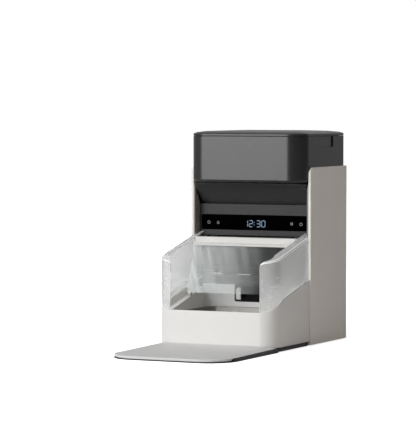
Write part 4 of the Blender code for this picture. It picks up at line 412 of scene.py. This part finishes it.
# The cheeks are charcoal plastic like the column; their mid grey is a painted sheen that stands
# for light on their inner faces.
CHEEK_PAINTED_SHEEN = moulded("abs_charcoal_painted_sheen", "#868688", "#828284", 0.5, 1.0 * MM, 0.012 * MM, 0.4)
INNER_BLACK = moulded("abs_moulded_inner_black", "#1D1D1F", "#18181A", 0.5, 1.2 * MM, 0.04 * MM)
PLATE_BLACK = moulded(
    "polypropylene_moulded_black", "#262628", "#202022", 0.55, 1.4 * MM, 0.05 * MM
)
ACETAL = moulded("acetal_moulded_white", "#E9E9E6", "#E0E0DD", 0.38, 0.8 * MM, 0.02 * MM)
CLEAR = see_through("polycarbonate_moulded_clear", 0.05, 0.05, -90 * MM, 90 * MM)
# The flap's haze grows to the left: a painted reflection.
FLAP_PAINTED_REFLECTION = see_through("polycarbonate_clear_painted_reflection", 0.02, 0.36, -90 * MM, 40 * MM)
EDGE_PAINTED_HIGHLIGHT = bright_edge()
FROSTED = frosted_polycarbonate()
WINDOW = display_window()
MAT = mat_plastic()
RUBBER = rubber()
STEEL = brushed_steel()
BRASS = turned_brass()
BOARD = circuit_board()
SEGMENT_GLOW = glowing("display_segments_lit", "#7F9BB8", 0.85)
ICON_GLOW = glowing("touch_icons_lit", "#BDC0C4", 0.5)

NODE_FINISHES = {
    WARM_WHITE: ("base_housing",),
    BAR_WHITE_SHADED: ("cover_bar",),
    PANEL_WHITE: ("side_panel_left", "side_panel_right"),
    SMOKE: ("hopper_tank", "hopper_lid"),
    COVE_PAINTED_SHADE: ("column_front",),
    CHEEK_PAINTED_SHEEN: ("cheek_left", "cheek_right"),
    CHARCOAL: (
        "column_post_left",
        "column_post_right",
        "face_panel",
        "hopper_deck",
        "outlet_hood",
        "rear_cover",
        "battery_cover",
    ),
    INNER_BLACK: (
        "cover_rail_left",
        "cover_rail_right",
        "dispenser_housing",
        "battery_tray",
        "hopper_funnel",
        "chute",
        "power_inlet",
    ),
    PLATE_BLACK: ("base_plate", "step_tray"),
    ACETAL: (
        "cover_glide_left",
        "cover_glide_right",
        "cover_rack_left",
        "cover_rack_right",
        "drive_pinion_left",
        "drive_pinion_right",
        "drive_gear",
        "rotor",
        "rotor_gear",
        "outlet_sensor",
        "hood_latch",
        "desiccant_cup",
    ),
    CLEAR: ("cover_roof",),
    FLAP_PAINTED_REFLECTION: ("cover_flap",),
    FROSTED: ("guard_left", "guard_right"),
    WINDOW: ("display_window",),
    MAT: ("step_mat",),
    RUBBER: ("front_pad", "rear_pad", "lid_seal"),
    STEEL: (
        "bowl",
        "drive_shaft",
        "rotor_shaft",
        "cover_screw_left",
        "cover_screw_right",
        "drive_motor",
        "feed_motor",
    ),
    BRASS: (
        "drive_motor_pinion",
        "feed_motor_pinion",
        "battery_contact_low",
        "battery_contact_high",
    ),
    BOARD: ("control_board", "antenna_board"),
}


def smooth_shell(name, material):
    """A merged copy of a solid with smooth round faces and eased edges, which stands for it."""
    shape = bmesh.new()
    shape.from_mesh(frame["nodes"][name].data)
    bmesh.ops.remove_doubles(shape, verts=shape.verts, dist=WELD)
    bmesh.ops.dissolve_limit(shape, angle_limit=FLAT_ANGLE, verts=shape.verts, edges=shape.edges)
    mesh = bpy.data.meshes.new(f"{name}_shell")
    shape.to_mesh(mesh)
    shape.free()
    mesh.materials.clear()
    mesh.materials.append(material)
    mesh.shade_smooth()
    mesh.set_sharp_from_angle(angle=SMOOTH_ANGLE)
    piece = bpy.data.objects.new(f"{name}_shell", mesh)
    bpy.context.scene.collection.objects.link(piece)
    edges = piece.modifiers.new("eased_edges", "BEVEL")
    edges.width = EASING[name] * MM
    edges.segments = EASING_STEPS
    edges.limit_method = "ANGLE"
    edges.angle_limit = SMOOTH_ANGLE
    edges.use_clamp_overlap = False
    # The eased edges of milky parts take the painted highlight.
    if name in EDGE_LIT:
        mesh.materials.append(EDGE_PAINTED_HIGHLIGHT)
        edges.material = 1
    shading = piece.modifiers.new("even_shading", "WEIGHTED_NORMAL")
    shading.keep_sharp = True
    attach(piece, BODY_OF[name])
    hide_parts(name)


def finish_nodes():
    """Give every solid its real finish; those with round faces that show get a smooth shell."""
    for material, names in NODE_FINISHES.items():
        for name in names:
            if name in EASING:
                smooth_shell(name, material)
                continue
            for entry in frame["nodes"][name].material_slots:
                entry.material = material


def slab(shape, corners, along):
    """Add a flat face through its corners, grown into a slab along a vector."""
    face = shape.faces.new([shape.verts.new(corner) for corner in corners])
    grown = bmesh.ops.extrude_face_region(shape, geom=[face])
    moved = [item for item in grown["geom"] if isinstance(item, bmesh.types.BMVert)]
    bmesh.ops.translate(shape, verts=moved, vec=along)


def mark(shape, outline):
    """Add a thin lit mark in front of the window, from its outline in X and Z."""
    slab(shape, [(x, INK_FRONT, z) for x, z in outline], (0, INK_DEPTH, 0))


def settle(name, shape, material, body):
    """Make a finished bmesh a piece of the feeder that rides on a body."""
    bmesh.ops.remove_doubles(shape, verts=shape.verts, dist=SAME_POINT)
    bmesh.ops.recalc_face_normals(shape, faces=shape.faces)
    mesh = bpy.data.meshes.new(name)
    shape.to_mesh(mesh)
    shape.free()
    mesh.shade_smooth()
    mesh.set_sharp_from_angle(angle=SMOOTH_ANGLE)
    mesh.materials.append(material)
    piece = bpy.data.objects.new(name, mesh)
    bpy.context.scene.collection.objects.link(piece)
    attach(piece, body)


def segment_outline(start, stop):
    """A pointed bar between two corners of a digit."""
    a = Vector(start)
    b = Vector(stop)
    aim = (b - a).normalized()
    side = Vector((-aim.y, aim.x)) * SEGMENT_HALF
    near = a + aim * SEGMENT_INSET
    far = b - aim * SEGMENT_INSET
    tip = aim * SEGMENT_HALF
    first_end = (near + tip - side, near, near + tip + side)
    last_end = (far - tip + side, far, far - tip - side)
    return [tuple(point) for point in first_end + last_end]


def clock_digits():
    """Plain lit digits of a clock in the middle of the window."""
    shape = bmesh.new()
    left = CLOCK_MIDDLE_X - CLOCK_REACH - DIGIT_WIDTH / 2
    low = CLOCK_MIDDLE_Z - DIGIT_HEIGHT / 2
    for digit in CLOCK_DIGITS:
        if digit == ":":
            for share in COLON_HEIGHTS:
                z = low + DIGIT_HEIGHT * share
                mark(shape, [(left + u * COLON_HALF, z + v * COLON_HALF) for u, v in SQUARE])
            left += COLON_PITCH
            continue
        for letter in LIT_SEGMENTS[digit]:
            ends = [
                (left + u * DIGIT_WIDTH, low + v * DIGIT_HEIGHT / 2)
                for u, v in SEGMENT_ENDS[letter]
            ]
            mark(shape, segment_outline(*ends))
        left += DIGIT_PITCH
    settle("display_digits", shape, SEGMENT_GLOW, "feeder")


def icon_arc(shape, x, z, radius, start, stop):
    """A flat band along an arc, with its angles in degrees."""
    middle = Vector((x * MM, ICON_Z + z * MM))
    inner = []
    outer = []
    for count in range(ARC_STEPS + 1):
        angle = math.radians(start + (stop - start) * count / ARC_STEPS)
        aim = Vector((math.cos(angle), math.sin(angle)))
        inner.append(tuple(middle + aim * (radius * MM - ICON_LINE / 2)))
        outer.append(tuple(middle + aim * (radius * MM + ICON_LINE / 2)))
    for count in range(ARC_STEPS):
        mark(shape, [outer[count], outer[count + 1], inner[count + 1], inner[count]])


def icon_bar(shape, x, z, end_x, end_z):
    """A flat bar between two points."""
    a = Vector((x * MM, ICON_Z + z * MM))
    b = Vector((end_x * MM, ICON_Z + end_z * MM))
    aim = (b - a).normalized()
    side = Vector((-aim.y, aim.x)) * ICON_LINE / 2
    mark(shape, [tuple(a + side), tuple(a - side), tuple(b - side), tuple(b + side)])


def touch_icons():
    """Four plain touch marks beside the clock."""
    shape = bmesh.new()
    for arc in ICON_ARCS:
        icon_arc(shape, *arc)
    for bar in ICON_BARS:
        icon_bar(shape, *bar)
    settle("touch_icons", shape, ICON_GLOW, "feeder")


def hood_clip():
    """A slim pale clip on the hood's ledge."""
    shape = bmesh.new()
    size = Matrix.Diagonal((*CLIP_SIZE, 1.0))
    bmesh.ops.create_cube(shape, size=1.0, matrix=Matrix.Translation(CLIP_PLACE) @ size)
    bmesh.ops.bevel(
        shape,
        geom=shape.edges[:],
        offset=CLIP_EASING,
        segments=2,
        profile=0.5,
        affect="EDGES",
        material=-1,
    )
    settle("hood_clip", shape, ACETAL, "feeder")


def grip_pads():
    """A thin pad with rounded lower corners in each finger notch of the hopper."""
    outline = [(GRIP_Y[0], GRIP_Z[1])]
    for middle, start in ((GRIP_Y[0] + GRIP_CORNER, 180), (GRIP_Y[1] - GRIP_CORNER, 270)):
        for step in range(GRIP_CORNER_STEPS + 1):
            angle = math.radians(start + 90 * step / GRIP_CORNER_STEPS)
            y = middle + GRIP_CORNER * math.cos(angle)
            outline.append((y, GRIP_Z[0] + GRIP_CORNER * (1 + math.sin(angle))))
    outline.append((GRIP_Y[1], GRIP_Z[1]))
    for side, name in ((-1, "grip_pad_left"), (1, "grip_pad_right")):
        shape = bmesh.new()
        corners = [(side * GRIP_X[0], y, z) for y, z in outline]
        slab(shape, corners, (side * (GRIP_X[1] - GRIP_X[0]), 0, 0))
        settle(name, shape, SMOKE, "hopper")


def ray_level(tree, mirrored_level):
    """One for rays from the camera or a clear part, and another level for mirrored ones."""
    path = put(tree, "ShaderNodeLightPath").outputs
    settings = {0: path["Is Camera Ray"], 1: path["Is Transmission Ray"]}
    seen = put(tree, "ShaderNodeMath", settings, operation="MAXIMUM").outputs[0]
    settings = {0: path["Is Glossy Ray"], 1: mirrored_level}
    mirrored = put(tree, "ShaderNodeMath", settings, operation="MULTIPLY").outputs[0]
    return put(tree, "ShaderNodeMath", {0: seen, 1: mirrored}, operation="MAXIMUM").outputs[0]


def pale_surround():
    """White surround with a weak fill, brighter on one side where gloss mirrors it."""
    world = bpy.data.worlds.new("pale_surround")
    world.use_nodes = True
    bpy.context.scene.world = world
    tree = world.node_tree
    aim = put(tree, "ShaderNodeTexCoord").outputs["Generated"]
    across = put(tree, "ShaderNodeVectorMath", {0: aim, 1: BRIGHT_SIDE}, operation="DOT_PRODUCT")
    settings = {"Value": across.outputs["Value"]}
    settings.update({"From Min": SIDE_CHANGE[0], "From Max": SIDE_CHANGE[1]})
    settings.update({"To Min": DARK_SIDE_LEVEL, "To Max": MIRRORED_LEVEL})
    mirrored = put(tree, "ShaderNodeMapRange", settings).outputs["Result"]
    settings = {"Value": ray_level(tree, mirrored), "To Min": FILL_LEVEL, "To Max": 1.0}
    level = put(tree, "ShaderNodeMapRange", settings).outputs["Result"]
    feed(tree, tree.nodes["Background"], {"Color": linear("#FFFFFF"), "Strength": level})


def white_floor():
    """Matt white floor with its own glow, which leaves the feeder's shadow on it."""
    material, tree, shader, place = new_finish("studio_floor_white")
    reach = put(tree, "ShaderNodeVectorMath", {0: place}, operation="LENGTH").outputs["Value"]
    settings = {"Value": reach, "From Min": NEAR_REACH, "From Max": FAR_REACH}
    settings.update({"To Min": NEAR_GLOW, "To Max": FAR_GLOW})
    level = put(tree, "ShaderNodeMapRange", settings).outputs["Result"]
    settings = {0: ray_level(tree, GLOSS_SHARE), 1: level}
    glow = put(tree, "ShaderNodeMath", settings, operation="MULTIPLY").outputs[0]
    settings = {"Base Color": linear("#EDEDED"), "Roughness": 0.9, "Specular IOR Level": 0.0}
    settings.update({"Emission Color": linear("#FFFFFF"), "Emission Strength": glow})
    feed(tree, shader, settings)

    shape = bmesh.new()
    bmesh.ops.create_grid(shape, x_segments=1, y_segments=1, size=FLOOR_HALF)
    mesh = bpy.data.meshes.new("studio_floor")
    shape.to_mesh(mesh)
    shape.free()
    mesh.materials.append(material)
    floor = bpy.data.objects.new("studio_floor", mesh)
    floor.location.z = -FLOOR_DROP
    bpy.context.scene.collection.objects.link(floor)


def lamps():
    """One large soft lamp at the front left and weak ones elsewhere."""
    for name, place, size, power, colour, mirrored in LAMPS:
        lamp = bpy.data.lights.new(name, "AREA")
        lamp.shape = "RECTANGLE"
        lamp.size, lamp.size_y = size
        lamp.energy = power
        lamp.color = linear(colour)[:3]
        holder = bpy.data.objects.new(name, lamp)
        holder.location = place
        aim = LAMP_TARGET - Vector(place)
        holder.rotation_euler = aim.to_track_quat("-Z", "Y").to_euler()
        holder.visible_camera = False
        holder.visible_glossy = mirrored
        bpy.context.scene.collection.objects.link(holder)


def camera():
    """Long-lens camera to the right of the front, a little above the middle."""
    lens = bpy.data.cameras.new("view")
    lens.lens = LENS_MM
    lens.sensor_width = SENSOR_MM
    lens.clip_end = CLIP_END
    holder = bpy.data.objects.new("view", lens)
    holder.location = CAMERA_PLACE
    holder.rotation_euler = (math.radians(90 - CAMERA_DIP), 0.0, math.radians(CAMERA_TURN))
    bpy.context.scene.collection.objects.link(holder)
    bpy.context.scene.camera = holder


camera()
finish_nodes()
clock_digits()
touch_icons()
hood_clip()
grip_pads()
pale_surround()
white_floor()
lamps()
bpy.context.scene.view_settings.view_transform = "Standard"
